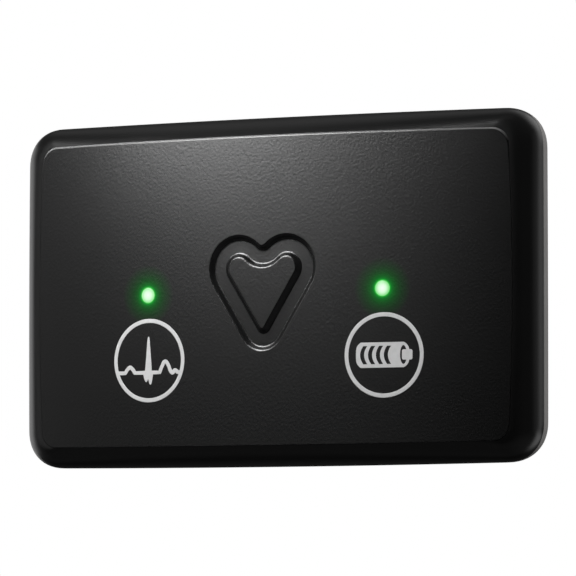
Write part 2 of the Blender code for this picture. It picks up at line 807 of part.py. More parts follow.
def post_cores():
    """The rear shell's posts: a sleeve over each boss nose, then a bore for the screw's shank."""
    sleeve = NOSE_RADIUS + FIT_GAP
    bore = SHANK_RADIUS + FIT_GAP
    profile = [
        (bore, NOSE_BACK + FIT_GAP),
        (sleeve, NOSE_BACK + FIT_GAP),
        (sleeve, BOARD_BACK + FIT_GAP),
        (POST_RADIUS, BOARD_BACK + FIT_GAP),
        (POST_RADIUS, BACK_INNER + POST_ROOT),
        (bore, BACK_INNER + POST_ROOT),
    ]
    post = turned("post_core", profile, 0, 0, 0, cutters, steps=SMALL_ROUND_STEPS)
    return at_screws("post", post, cutters)


def head_recesses():
    """Counterbores for the screw heads, and the clearance for each shank where it enters its post."""
    head = HEAD_RADIUS + FIT_GAP
    shank = SHANK_RADIUS + 2 * FIT_GAP
    seat = HEAD_FRONT - FIT_GAP
    profile = [
        (0, seat - OVERRUN),
        (shank, seat - OVERRUN),
        (shank, seat),
        (head, seat),
        (head, CASE_DEPTH + OVERRUN),
        (0, CASE_DEPTH + OVERRUN),
    ]
    recess = turned("head_recess_form", profile, 0, 0, 0, cutters, steps=SMALL_ROUND_STEPS)
    return at_screws("head_recess", recess, cutters)


def door_outline(outset=0.0):
    return plain_outline(
        DOOR_HALF_WIDTH + outset,
        DOOR_BOTTOM - outset,
        DOOR_TOP + outset,
        DOOR_CORNER + outset,
        DOOR_FOOT_CORNER,
    )


def hinge_bar(name, radius, half_length, group, finish=None):
    """A round bar along the door's hinge axis."""
    profile = [(0, -half_length), (radius, -half_length), (radius, half_length), (0, half_length)]
    bar = turned(
        name, profile, 0, HINGE_DEPTH, HINGE_RISE, group, finish, steps=SMALL_ROUND_STEPS
    )
    bar.rotation_euler = (0, math.pi / 2, 0)
    return bar


def socket_space():
    """Room for the lead socket: the body's pocket and the snout's way out through the top wall."""
    pocket_bottom = (SOCKET_BOTTOM + SOCKET_TOP) / 2
    pocket = (
        SOCKET_WIDTH + 2 * FIT_GAP,
        SOCKET_TOP + FIT_GAP - pocket_bottom,
        SNOUT_BACK - BOARD_BACK + FIT_GAP,
    )
    way_out_bottom = (pocket_bottom + SOCKET_TOP) / 2
    way_out = (
        SNOUT_WIDTH + 2 * FIT_GAP,
        HALF_HEIGHT + OVERRUN - way_out_bottom,
        SNOUT_THICKNESS - SOCKET_WALL + 2 * FIT_GAP,
    )
    return (
        block("socket_pocket", pocket, 0, BOARD_BACK, pocket_bottom, cutters),
        block("snout_way_out", way_out, 0, SNOUT_FRONT - FIT_GAP, way_out_bottom, cutters),
    )


def bay_windows():
    """Openings in the bay's floor for the contact block and the card holder."""
    contact_size = (
        CONTACT_BLOCK_WIDTH + 2 * FIT_GAP,
        BLADE_THICKNESS + CONTACT_BLOCK_HEIGHT + 3 * FIT_GAP,
        BAY_FLOOR_THICKNESS + 2 * BAY_STANDOFF,
    )
    card_size = (
        HOLDER_WIDTH + 2 * FIT_GAP,
        HOLDER_WALL + CARD_HEIGHT + 3 * FIT_GAP,
        BAY_FLOOR_THICKNESS + 2 * BAY_STANDOFF,
    )
    return (
        block("contact_window", contact_size, CONTACT_BLOCK_X, BOARD_BACK, BATTERY_TOP, cutters),
        block("card_window", card_size, HOLDER_X, BOARD_BACK, HOLDER_BOTTOM - FIT_GAP, cutters),
    )


def finger_scoop():
    """The shallow hollow at the door's top edge where a fingernail gets hold of it."""
    form = bmesh.new()
    bmesh.ops.create_uvsphere(
        form, u_segments=ROUND_STEPS, v_segments=SMALL_ROUND_STEPS, radius=SCOOP_RADIUS
    )
    mesh = bpy.data.meshes.new("finger_scoop")
    form.to_mesh(mesh)
    form.free()
    scoop = added("finger_scoop", mesh, cutters)
    scoop.location = place(0, CASE_DEPTH + SCOOP_RADIUS - SCOOP_DEPTH, DOOR_TOP)
    return scoop


def build_rear_shell():
    straight = REAR_FRONT + INNER_STRAIGHT
    rings = back_rings(straight, BACK_INNER, LAND_WIDTH, INNER_ROUNDING, INNER_STEPS)[::-1]
    rings += [
        ring(case_outline(LAND_WIDTH), TONGUE_FRONT),
        ring(case_outline(REBATE_INSET + FIT_GAP), TONGUE_FRONT),
        ring(case_outline(REBATE_INSET + FIT_GAP), REAR_FRONT),
    ]
    rings += back_rings(REAR_FRONT, CASE_DEPTH, REAR_STEP, REAR_ROUNDING, RIM_STEPS)
    shell = loft("rear_shell", rings, place(0, REAR_FRONT, 0), monitor, grey_abs())
    tub = plain_outline(TUB_HALF_WIDTH, TUB_BOTTOM, TUB_TOP, DOOR_CORNER, DOOR_CORNER)
    join(
        shell,
        plate("bay_tub", [tub], BAY_FLOOR_FRONT, BACK_INNER + BAY_ROOT, cutters),
        *post_cores(),
    )
    beyond = CASE_DEPTH + OVERRUN
    trunnion_reach = DOOR_HALF_WIDTH + TRUNNION_LENGTH + FIT_GAP
    cut(
        shell,
        plate("bay_pocket", [bay_outline()], BAY_FLOOR_BACK, beyond, cutters),
        plate("door_recess", [door_outline(FIT_GAP)], LEDGE_DEPTH, beyond, cutters),
        hinge_bar("trunnion_holes", TRUNNION_RADIUS + FIT_GAP, trunnion_reach, cutters),
        finger_scoop(),
        *head_recesses(),
        *bay_windows(),
        *socket_space(),
    )


def build_main_board():
    holes = [circle_outline(x, rise, NOSE_RADIUS + FIT_GAP) for x, rise in SCREW_PLACES]
    outlines = [case_outline(BOARD_INSET)] + holes
    plate("main_board", outlines, BOARD_FRONT, BOARD_BACK, monitor, board_laminate())


def build_battery():
    bottom = BAY_BOTTOM + FIT_GAP
    size = (BATTERY_RIGHT - BATTERY_LEFT, BATTERY_TOP - bottom, BATTERY_THICKNESS)
    block(
        "battery_pack",
        size,
        (BATTERY_LEFT + BATTERY_RIGHT) / 2,
        BATTERY_FRONT,
        bottom,
        monitor,
        battery_wrap(),
        bevel=BATTERY_BEVEL,
    )


def build_battery_contacts():
    front = BOARD_BACK + FIT_GAP
    size = (CONTACT_BLOCK_WIDTH, CONTACT_BLOCK_HEIGHT, CONTACT_BACK - front)
    block(
        "contact_block",
        size,
        CONTACT_BLOCK_X,
        front,
        CONTACT_BLOCK_BOTTOM,
        monitor,
        black_nylon(),
        bevel=CONTACT_BLOCK_CORNER,
    )
    blade_size = (BLADE_WIDTH, BLADE_THICKNESS, CONTACT_BACK - CONTACT_BLOCK_CORNER - front)
    blade = block("blade_form", blade_size, CONTACT_BLOCK_X, front, BLADE_BOTTOM, cutters)
    offsets = [(step * BLADE_PITCH, 0, 0) for step in BLADE_STEPS]
    copies("battery_blade", blade, offsets, monitor, gold_plate())


def build_memory_card():
    """The card with one cut corner, and the open-topped holder that it slides into."""
    front = BOARD_BACK + FIT_GAP
    card_bottom = HOLDER_BOTTOM + HOLDER_WALL + FIT_GAP
    card_front = front + HOLDER_WALL + FIT_GAP
    height = HOLDER_WALL + FIT_GAP + CARD_HEIGHT - CARD_PROUD
    thickness = 2 * (HOLDER_WALL + FIT_GAP) + CARD_THICKNESS
    size = (HOLDER_WIDTH, height, thickness)
    holder = block("card_holder", size, HOLDER_X, front, HOLDER_BOTTOM, monitor, steel())
    slot = (CARD_WIDTH + 2 * FIT_GAP, height + OVERRUN, CARD_THICKNESS + 2 * FIT_GAP)
    slot_bottom = HOLDER_BOTTOM + HOLDER_WALL
    cut(holder, block("card_slot", slot, HOLDER_X, front + HOLDER_WALL, slot_bottom, cutters))
    left = HOLDER_X - CARD_WIDTH / 2
    right = HOLDER_X + CARD_WIDTH / 2
    top = card_bottom + CARD_HEIGHT
    outline = [
        (left, card_bottom),
        (right - CARD_CORNER, card_bottom),
        (right, card_bottom + CARD_CORNER),
        (right, top),
        (left, top),
    ]
    back = card_front + CARD_THICKNESS
    plate("memory_card", [outline], card_front, back, monitor, chip_resin())


def build_battery_door():
    """The door's plate, with the round bar along its foot that turns on two trunnions."""
    upper = plain_outline(DOOR_HALF_WIDTH, HINGE_RISE, DOOR_TOP, DOOR_CORNER, DOOR_FOOT_CORNER)
    door = plate("battery_door", [upper], DOOR_FRONT, CASE_DEPTH, monitor, grey_abs())
    join(
        door,
        hinge_bar("hinge_roll", HINGE_RADIUS, DOOR_HALF_WIDTH, cutters),
        hinge_bar("trunnions", TRUNNION_RADIUS, DOOR_HALF_WIDTH + TRUNNION_LENGTH, cutters),
    )
    on_axis("battery_door_hinge", place(0, HINGE_DEPTH, HINGE_RISE), door)
    seal = [bay_outline(DOOR_SEAL_WIDTH), bay_outline()]
    front = LEDGE_DEPTH + FIT_GAP
    plate("door_seal", seal, front, DOOR_FRONT - FIT_GAP, monitor, silicone_rubber())


def build_lead_socket():
    """The socket's body and snout, the insulator in it and the pins that meet the patient leads."""
    front = BOARD_BACK + FIT_GAP
    body_size = (SOCKET_WIDTH, SOCKET_TOP - SOCKET_BOTTOM, SNOUT_BACK - front)
    body = block("lead_socket", body_size, 0, front, SOCKET_BOTTOM, monitor, black_nylon())
    snout_bottom = (SOCKET_BOTTOM + SOCKET_TOP) / 2
    snout_size = (SNOUT_WIDTH, SNOUT_TOP - snout_bottom, SNOUT_THICKNESS - SOCKET_WALL)
    join(body, block("snout", snout_size, 0, SNOUT_FRONT, snout_bottom, cutters))
    cavity_bottom = SOCKET_BOTTOM + SOCKET_FLOOR
    cavity_front = SNOUT_FRONT + SOCKET_WALL
    cavity = (
        SNOUT_WIDTH - 2 * SOCKET_WALL,
        SNOUT_TOP + OVERRUN - cavity_bottom,
        SNOUT_THICKNESS - 3 * SOCKET_WALL,
    )
    cut(body, block("socket_cavity", cavity, 0, cavity_front, cavity_bottom, cutters))
    insulator = (cavity[0] - 2 * FIT_GAP, INSULATOR_HEIGHT, cavity[2] - 2 * FIT_GAP)
    insulator_bottom = cavity_bottom + FIT_GAP
    block(
        "lead_insulator",
        insulator,
        0,
        cavity_front + FIT_GAP,
        insulator_bottom,
        monitor,
        ceramic(),
        bevel=CHIP_CORNER,
    )
    pin_bottom = insulator_bottom + INSULATOR_HEIGHT + FIT_GAP
    profile = [(0, 0), (PIN_RADIUS, 0), (PIN_RADIUS, PIN_LENGTH), (0, PIN_LENGTH)]
    pin = turned(
        "pin_form",
        profile,
        0,
        cavity_front + cavity[2] / 2,
        pin_bottom,
        cutters,
        steps=SMALL_ROUND_STEPS // 2,
    )
    pin.rotation_euler.x = 0
    offsets = [(step * PIN_PITCH, 0, 0) for step in PIN_STEPS]
    copies("lead_pin", pin, offsets, monitor, gold_plate())


def board_place(shares):
    return shares[0] * (HALF_WIDTH - BOARD_INSET), shares[1] * (HALF_HEIGHT - BOARD_INSET)


def build_chip(name, size, shares, finish):
    x, rise = board_place(shares)
    front = BOARD_FRONT - FIT_GAP - size[2]
    block(name, size, x, front, rise - size[1] / 2, monitor, finish, bevel=CHIP_CORNER)


def build_radio_can():
    """The radio's shield: a drawn steel lid, open towards the board."""
    x, rise = board_place(RADIO_CAN_SHARES)
    front = BOARD_FRONT - FIT_GAP - RADIO_CAN_SIZE[2]
    bottom = rise - RADIO_CAN_SIZE[1] / 2
    can = block("radio_shield", RADIO_CAN_SIZE, x, front, bottom, monitor, steel())
    form = bmesh.new()
    form.from_mesh(can.data)
    open_side = max(form.faces, key=lambda face: face.calc_center_median().y)
    bmesh.ops.delete(form, geom=[open_side], context="FACES_ONLY")
    form.to_mesh(can.data)
    form.free()
    walls = can.modifiers.new("walls", "SOLIDIFY")
    walls.thickness = RADIO_CAN_WALL
    walls.offset = -1
    walls.use_even_offset = True


def build_buzzer():
    x, rise = board_place(BUZZER_SHARES)
    front = BOARD_FRONT - FIT_GAP - BUZZER_THICKNESS
    profile = [
        (0, BUZZER_HOLE_DEPTH),
        (BUZZER_HOLE_RADIUS, BUZZER_HOLE_DEPTH),
        (BUZZER_HOLE_RADIUS, 0),
        (BUZZER_RADIUS, 0),
        (BUZZER_RADIUS, BUZZER_THICKNESS),
        (0, BUZZER_THICKNESS),
    ]
    turned("buzzer", profile, x, front, rise, monitor, black_nylon())


def build_clock_cell():
    x, rise = board_place(CLOCK_CELL_SHARES)
    front = BOARD_FRONT - FIT_GAP - CLOCK_CELL_THICKNESS
    inner = CLOCK_CELL_RADIUS - CLOCK_CELL_STEP
    profile = [
        (0, 0),
        (inner, 0),
        (inner, CLOCK_CELL_STEP),
        (CLOCK_CELL_RADIUS, CLOCK_CELL_STEP),
        (CLOCK_CELL_RADIUS, CLOCK_CELL_THICKNESS),
        (0, CLOCK_CELL_THICKNESS),
    ]
    turned("clock_cell", profile, x, front, rise, monitor, steel())


def build_case_screws():
    profile = [
        (0, BOARD_FRONT),
        (SHANK_RADIUS, BOARD_FRONT),
        (SHANK_RADIUS, HEAD_FRONT),
        (HEAD_RADIUS, HEAD_FRONT),
        (HEAD_RADIUS, HEAD_BACK),
        (0, HEAD_BACK),
    ]
    screw = turned("screw_form", profile, 0, 0, 0, cutters, steps=SMALL_ROUND_STEPS)
    slot = (2 * (HEAD_RADIUS + OVERRUN), DRIVE_SLOT_WIDTH, DRIVE_SLOT_DEPTH + OVERRUN)
    slot_front = HEAD_BACK - DRIVE_SLOT_DEPTH
    cut(screw, block("drive_slot", slot, 0, slot_front, -DRIVE_SLOT_WIDTH / 2, cutters))
    at_screws("case_screw", screw, monitor, steel())


def build_monitor():
    clear_scene()
    build_front_shell()
    build_face_panel()
    build_event_key()
    build_tactile_switch()
    build_status_light("left", -1)
    build_status_light("right", 1)
    build_case_seal()
    build_rear_shell()
    build_main_board()
    build_battery()
    build_battery_contacts()
    build_memory_card()
    build_battery_door()
    build_lead_socket()
    build_chip("processor", PROCESSOR_SIZE, PROCESSOR_SHARES, chip_resin())
    build_chip("ecg_amplifier", ECG_CHIP_SIZE, ECG_CHIP_SHARES, chip_resin())
    build_chip("radio_antenna", ANTENNA_SIZE, ANTENNA_SHARES, ceramic())
    build_chip("clock_crystal", CRYSTAL_SIZE, CRYSTAL_SHARES, steel())
    build_chip("motion_sensor", MOTION_CHIP_SIZE, MOTION_CHIP_SHARES, chip_resin())
    build_radio_can()
    build_buzzer()
    build_clock_cell()
    build_case_screws()


build_monitor()
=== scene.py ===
"""Holter monitor: the finished look of a pocket ECG recorder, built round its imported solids.

Metres, +Z up, in the frame of the solids. A depth is measured backwards from the foremost point of the
face, and a rise is measured up from the middle of the case.
"""

import math

import bmesh
import bpy
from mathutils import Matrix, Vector


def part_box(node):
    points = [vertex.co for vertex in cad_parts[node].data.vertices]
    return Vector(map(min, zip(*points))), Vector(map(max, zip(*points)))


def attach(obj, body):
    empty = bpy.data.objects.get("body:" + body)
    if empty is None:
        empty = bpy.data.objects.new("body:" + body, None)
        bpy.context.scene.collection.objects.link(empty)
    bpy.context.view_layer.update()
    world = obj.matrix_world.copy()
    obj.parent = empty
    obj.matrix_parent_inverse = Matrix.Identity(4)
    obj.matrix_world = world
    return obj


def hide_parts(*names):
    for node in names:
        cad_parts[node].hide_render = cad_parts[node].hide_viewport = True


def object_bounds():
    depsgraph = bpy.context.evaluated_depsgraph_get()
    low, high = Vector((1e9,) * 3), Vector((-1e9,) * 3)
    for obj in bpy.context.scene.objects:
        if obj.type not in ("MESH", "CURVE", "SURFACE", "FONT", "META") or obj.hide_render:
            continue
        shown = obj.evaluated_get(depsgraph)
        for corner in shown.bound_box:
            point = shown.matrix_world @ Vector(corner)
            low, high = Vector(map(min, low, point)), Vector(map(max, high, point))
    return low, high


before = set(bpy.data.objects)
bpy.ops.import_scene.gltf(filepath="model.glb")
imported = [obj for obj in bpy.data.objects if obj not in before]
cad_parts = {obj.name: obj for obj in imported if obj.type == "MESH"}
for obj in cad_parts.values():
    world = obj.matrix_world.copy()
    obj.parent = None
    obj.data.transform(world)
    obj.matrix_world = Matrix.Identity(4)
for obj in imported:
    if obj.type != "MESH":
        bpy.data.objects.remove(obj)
cad_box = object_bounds()
bpy.ops.object.select_all(action="DESELECT")


# Front shell: the black half of the case, moulded in ABS with a polished rim that falls back from the
# panel's edge to the widest line. It carries the face panel in a recess and is closed from behind by
# four screws, whose bosses inside the case are left out.
case_low, case_high = (Vector(corner) for corner in cad_box)
case_middle_rise = (case_low.z + case_high.z) / 2
case_depth = case_high.y - case_low.y

case_half_width = 0.04961
case_half_height = 0.02976
case_corner = 0.00672
case_roundness = 2.24
case_side_bow = 0.00006
case_top_bow = 0.00031
face_radius = 0.33444
girth_depth = 0.00710
split_depth = 0.00724
rim_steps = 22
rim_lip = 0.00002
rim_drop = 0.00018
least_start = math.radians(8)
easing_start, easing_full = 0.0225, 0.0258
recess_depth = 0.0012
floor_back = 0.0026
rebate_floor = 0.00576
rebate_inset = 0.0011
land_inset = 0.0023

panel_half_width = 0.0450
panel_half_height = 0.0263
panel_corner = 0.00275
panel_roundness = 2.05
panel_side_bow = 0.00076
panel_top_bow = 0.00023

side_columns = 5
corner_columns = 15
top_columns = 28
half_columns = side_columns + corner_columns + top_columns
tolerance = 0.000001


def place(x, depth, rise):
    """World point of a place on the case."""
    return Vector((x, case_low.y + depth, case_middle_rise + rise))


def sag(x):
    """Depth of the cylindrical face at a distance from its upright middle line."""
    return face_radius - math.sqrt(face_radius**2 - x**2)


def bowed_outline(half_width, half_height, corner, roundness, side_bow, top_bow):
    """A rule from a share of the way between right middle and top middle to a point of the outline."""

    def point(share):
        column = share * half_columns
        if column <= side_columns:
            x = half_width
            rise = (half_height - corner) * column / side_columns
        elif column <= side_columns + corner_columns:
            turn = math.pi / 2 * (column - side_columns) / corner_columns
            x = half_width - corner + corner * abs(math.cos(turn)) ** (2 / roundness)
            rise = half_height - corner + corner * math.sin(turn) ** (2 / roundness)
        else:
            x = (half_width - corner) * (half_columns - column) / top_columns
            rise = half_height
        wide = 1 + side_bow / half_width * (1 - (rise / half_height) ** 2)
        high = 1 + top_bow / half_height * (1 - (x / half_width) ** 2)
        return x * wide, rise * high

    return point


def case_outline(inset=0.0):
    """The case's widest outline, or one that lies inside it by an inset."""
    corner = case_corner**2 / (case_corner + inset)
    return bowed_outline(
        case_half_width - inset,
        case_half_height - inset,
        corner,
        case_roundness,
        case_side_bow,
        case_top_bow,
    )


def panel_outline(inset=0.0):
    """The outline of the panel's recess, or one that lies inside it by an inset."""
    return bowed_outline(
        panel_half_width - inset,
        panel_half_height - inset,
        panel_corner,
        panel_roundness,
        panel_side_bow,
        panel_top_bow,
    )


def ring(outline, depth, sagging=0.0):
    """A rule that puts a point of the wall on an outline, set back with the face where sagging is 1."""

    def placed(across, up):
        x, rise = outline(1 - abs(across))
        x = math.copysign(x, across)
        return place(x, depth + sagging * sag(x), math.copysign(rise, up))

    return placed


def near_top(rise):
    """How far the easing along the panel's top edge has come at a rise, from 0 to 1."""
    return min(max((rise - easing_start) / (easing_full - easing_start), 0), 1)


def rim_ring(share):
    """A ring of the rim, at a share of its way from the panel's edge to the widest line.

    In section the rim is an arc that ends square to the face. It starts at a slope, the steeper the
    deeper the rim is for its width, and along the top it starts a little behind the panel's edge.
    """
    inner, outer = panel_outline(-rim_lip), case_outline()

    def placed(across, up):
        inner_x, inner_rise = inner(1 - abs(across))
        outer_x, outer_rise = outer(1 - abs(across))
        wide = math.hypot(outer_x - inner_x, outer_rise - inner_rise)
        first = sag(inner_x) + rim_drop * near_top(math.copysign(inner_rise, up))
        deep = girth_depth - first
        start = max(least_start, math.asin(max(0, 1 - 2 * wide**2 / (wide**2 + deep**2))))
        turn = start + (math.pi / 2 - start) * share
        outward = (math.sin(turn) - math.sin(start)) / (1 - math.sin(start))
        back = (math.cos(start) - math.cos(turn)) / math.cos(start)
        x = inner_x + (outer_x - inner_x) * outward
        rise = inner_rise + (outer_rise - inner_rise) * outward
        depth = first + deep * back
        return place(math.copysign(x, across), depth, math.copysign(rise, up))

    return placed


def pick(kind, rule):
    """In edit mode, selects the vertices, edges or faces that meet a rule, and nothing else."""
    bpy.ops.mesh.select_mode(type=kind)
    bpy.ops.mesh.select_all(action="DESELECT")
    mesh = bpy.context.edit_object.data
    form = bmesh.from_edit_mesh(mesh)
    for item in {"VERT": form.verts, "EDGE": form.edges, "FACE": form.faces}[kind]:
        item.select_set(bool(rule(item)))
    form.select_flush_mode()
    bmesh.update_edit_mesh(mesh)


def draw_out(levels):
    """In edit mode, draws a flat shape out backwards, with a level of vertices at every metre."""
    bpy.ops.mesh.select_all(action="SELECT")
    bpy.ops.mesh.extrude_region_move(TRANSFORM_OT_translate={"value": (0, levels - 1, 0)})
    if levels > 2:
        pick("EDGE", lambda edge: abs(edge.verts[0].co.y - edge.verts[1].co.y) > tolerance)
        bpy.ops.mesh.subdivide(number_cuts=levels - 2)


def face_outwards():
    """In edit mode, points all faces outwards, and goes back to object mode."""
    bpy.ops.mesh.select_all(action="SELECT")
    bpy.ops.mesh.normals_make_consistent(inside=False)
    bpy.ops.object.mode_set(mode="OBJECT")


def ringed_plate(name, rings):
    """A closed solid with upright strips as its front and back, whose wall runs through the rings."""
    bpy.ops.mesh.primitive_grid_add(
        x_subdivisions=2 * half_columns, y_subdivisions=1, size=2, rotation=(math.pi / 2, 0, 0)
    )
    piece = bpy.context.object
    piece.name = piece.data.name = name
    bpy.ops.object.transform_apply()
    bpy.ops.object.mode_set(mode="EDIT")
    for side in (-1, 1):
        pick("VERT", lambda vert: vert.co.x * side > 1 - tolerance)
        bpy.ops.mesh.merge(type="CENTER")
    draw_out(len(rings))
    face_outwards()
    for vert in piece.data.vertices:
        vert.co = rings[round(vert.co.y)](vert.co.x, vert.co.z)
    return piece


def only(piece):
    """Selects a piece alone and makes it the active one."""
    bpy.ops.object.select_all(action="DESELECT")
    piece.select_set(True)
    bpy.context.view_layer.objects.active = piece


def shade(piece, sharp_degrees=30):
    """Shades a piece smooth, apart from edges sharper than that."""
    only(piece)
    bpy.ops.object.shade_smooth_by_angle(angle=math.radians(sharp_degrees))


def settle(piece, body, nodes, finish):
    """Gives a piece its material, its body and the solids that it stands for."""
    piece.data.materials.clear()
    piece.data.materials.append(finish)
    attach(piece, body)
    if nodes:
        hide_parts(*nodes)


def linear(colour):
    """An sRGB hex colour as the linear values that a shader takes."""
    shares = [int(colour[at : at + 2], 16) / 255 for at in (1, 3, 5)]
    return [
        share / 12.92 if share <= 0.04045 else ((share + 0.055) / 1.055) ** 2.4 for share in shares
    ] + [1]


def feed(node, inputs):
    """Gives a node its inputs. A value is set, and a socket, or a node's first socket, is linked."""
    for name, value in inputs.items():
        if isinstance(value, bpy.types.Node):
            value = value.outputs[0]
        if isinstance(value, bpy.types.NodeSocket):
            node.id_data.links.new(value, node.inputs[name])
        else:
            node.inputs[name].default_value = value


def add(tree, kind, inputs=None, stops=(), **settings):
    """Adds a node with its inputs and settings, and with the (position, colour) stops of a ramp."""
    made = tree.nodes.new(kind)
    for name, value in settings.items():
        setattr(made, name, value)
    for number, (position, colour) in enumerate(stops):
        if number == len(made.color_ramp.elements):
            made.color_ramp.elements.new(1)
        made.color_ramp.elements[number].position = position
        made.color_ramp.elements[number].color = linear(colour)
    feed(made, inputs or {})
    return made


def new_material(name, colour, roughness, ior=1.5, metallic=0.0):
    """A Principled material, with the tree, the shader and the places that its pattern needs."""
    made = bpy.data.materials.new(name)
    made.use_nodes = True
    shader = made.node_tree.nodes["Principled BSDF"]
    feed(shader, {"Base Color": linear(colour), "Roughness": roughness, "IOR": ior, "Metallic": metallic})
    spot = add(made.node_tree, "ShaderNodeTexCoord").outputs["Object"]
    return made, made.node_tree, shader, spot


def moulded_black_abs():
    """ABS from a polished mould: nearly black, satin, with the faint unevenness of moulding."""
    made, tree, shader, spot = new_material("satin_black_abs", "#060606", 0.3, ior=1.53)
    flow = add(tree, "ShaderNodeTexNoise", {"Vector": spot, "Scale": 90.0, "Detail": 3.0})
    rough = add(tree, "ShaderNodeMapRange", {"Value": flow, "To Min": 0.26, "To Max": 0.34})
    skin = add(tree, "ShaderNodeTexNoise", {"Vector": spot, "Scale": 900.0, "Detail": 2.0})
    bump = add(tree, "ShaderNodeBump", {"Height": skin, "Strength": 0.08, "Distance": 0.00002})
    feed(shader, {"Roughness": rough, "Normal": bump})
    return made


black_abs = moulded_black_abs()
shell_rings = [
    ring(panel_outline(), recess_depth, 1),
    ring(panel_outline(), rim_drop + rim_lip, 1),
]
shell_rings += [rim_ring(step / rim_steps) for step in range(rim_steps + 1)]
shell_rings += [
    ring(case_outline(), split_depth - rim_lip),
    ring(case_outline(rim_lip), split_depth),
    ring(case_outline(rebate_inset), split_depth),
    ring(case_outline(rebate_inset), rebate_floor),
    ring(case_outline(land_inset), rebate_floor),
    ring(panel_outline(), floor_back, 1),
]
front_shell = ringed_plate("front_shell_moulding", shell_rings)
shade(front_shell)
settle(front_shell, "case", ["front_shell"], black_abs)


# Face panel: a sheet with a soft-touch coat over a fine grain, laid into the front shell's recess and
# glued down. Its top edge is rounded over, and it opens round the key and the light guides.
panel_gap = 0.00002
panel_thickness = 0.0009
eased_edge = (
    (0.00046, 0),
    (0.00038, 0),
    (0.00034, 0.000003),
    (0.00026, 0.000020),
    (0.00017, 0.000062),
    (0.00008, 0.000128),
    (0.00003, 0.000168),
    (0, 0.000200),
)
square_edge = (
    (0.00020, 0),
    (0.00014, 0),
    (0.00010, 0),
    (0.00006, 0),
    (0.00004, 0.000001),
    (0.00002, 0.000004),
    (0.00001, 0.000008),
    (0, 0.000016),
)
light_offset = 0.02265
light_rise = -0.0003
guide_radius = 0.00125
guide_gap = 0.00004
guide_sides = 64

heart_rise = 0.00375
heart_lobe = 0.0047
heart_lobe_offset = 0.0046
heart_notch = 0.0019
heart_tip = 0.0033
heart_tip_drop = 0.0099
heart_tip_steps = 12
heart_lobe_steps = 44
heart_notch_steps = 10
band_depth = 0.0007
band_wall_radius = 0.00065
band_wall_turn = math.radians(52)
band_wall_steps = 8
flat_tilt = math.radians(1)
# The grey is a painted highlight on the upward faces of the panel's rounded top edge.
coat_colour, painted_highlight_grey = "#0b0b0b", "#6a6a6a"
painted_highlight_starts, painted_highlight_full = 0.10, 0.35
coat_roughness, coat_edge_roughness = 0.4, 0.26
coat_flat_facing, coat_edge_facing = 0.9995, 0.985
# Painted green glow on the panel round each light.
glow_reach, glow_strength = 0.0052, 1.15
far_off = 1.0
glow_steps = (
    (0.0, "#86dc88"),
    (0.00128, "#7ad27e"),
    (0.00138, "#38a842"),
    (0.00148, "#008f22"),
    (0.00165, "#00661c"),
    (0.0020, "#005115"),
    (0.0024, "#00400f"),
    (0.0029, "#00300a"),
    (0.0036, "#002206"),
    (0.0044, "#001503"),
    (0.0052, "#000000"),
)
light_centres = [place(side * light_offset, sag(light_offset), light_rise) for side in (-1, 1)]


def heart_outline(outset):
    """Points of the heart, clockwise seen from behind, from its tip round tip, lobe and notch arcs."""
    notch_rise = math.sqrt((heart_lobe + heart_notch) ** 2 - heart_lobe_offset**2)
    meeting = math.atan2(notch_rise, -heart_lobe_offset)
    flank = math.atan2(heart_tip_drop, heart_lobe_offset)
    flank -= math.acos((heart_tip - heart_lobe) / math.hypot(heart_lobe_offset, heart_tip_drop))
    tip = heart_tip + outset
    lobe = heart_lobe + outset
    notch = heart_notch - outset
    right = []
    for step in range(heart_tip_steps + 1):
        turn = -math.pi / 2 + (flank + math.pi / 2) * step / heart_tip_steps
        right.append((tip * math.cos(turn), tip * math.sin(turn) - heart_tip_drop))
    for step in range(heart_lobe_steps + 1):
        turn = flank + (meeting - flank) * step / heart_lobe_steps
        right.append((heart_lobe_offset + lobe * math.cos(turn), lobe * math.sin(turn)))
    for step in range(1, heart_notch_steps + 1):
        turn = meeting - math.pi + (math.pi / 2 - meeting) * step / heart_notch_steps
        right.append((notch * math.cos(turn), notch_rise + notch * math.sin(turn)))
    left = [(-x, rise) for x, rise in reversed(right[1:-1])]
    return [(x, heart_rise + rise) for x, rise in right + left]


def band_wall():
    """The S-shaped wall of the sunken band, as (way out from its foot, depth) from its foot up."""
    curved = band_wall_radius * (1 - math.cos(band_wall_turn))
    straight = (band_depth - 2 * curved) / math.sin(band_wall_turn)
    wall = []
    for step in range(band_wall_steps + 1):
        turn = band_wall_turn * step / band_wall_steps
        out = band_wall_radius * math.sin(turn)
        wall.append((out, band_depth - band_wall_radius * (1 - math.cos(turn))))
    reach = 2 * band_wall_radius * math.sin(band_wall_turn) + straight * math.cos(band_wall_turn)
    wall += [(reach - out, band_depth - depth) for out, depth in reversed(wall)]
    return wall, reach


def lofted(name, rings):
    """A closed solid through rings of equally many points. Its first and last rings are filled."""
    count = len(rings[0])
    bpy.ops.mesh.primitive_circle_add(
        vertices=count, radius=1, fill_type="NGON", rotation=(math.pi / 2, 0, 0)
    )
    piece = bpy.context.object
    piece.name = piece.data.name = name
    bpy.ops.object.transform_apply()
    bpy.ops.object.mode_set(mode="EDIT")
    draw_out(len(rings))
    bpy.ops.object.mode_set(mode="OBJECT")
    for vert in piece.data.vertices:
        turn = math.atan2(vert.co.z, vert.co.x) / (2 * math.pi)
        vert.co = rings[round(vert.co.y)][round(turn * count) % count]
    bpy.ops.object.mode_set(mode="EDIT")
    face_outwards()
    return piece


def heart_solid(name, rings):
    """A closed solid through rings of (outset, depth, sagging), each along the heart."""
    return lofted(
        name,
        [
            [place(x, depth + sagging * sag(x), rise) for x, rise in heart_outline(outset)]
            for outset, depth, sagging in rings
        ],
    )


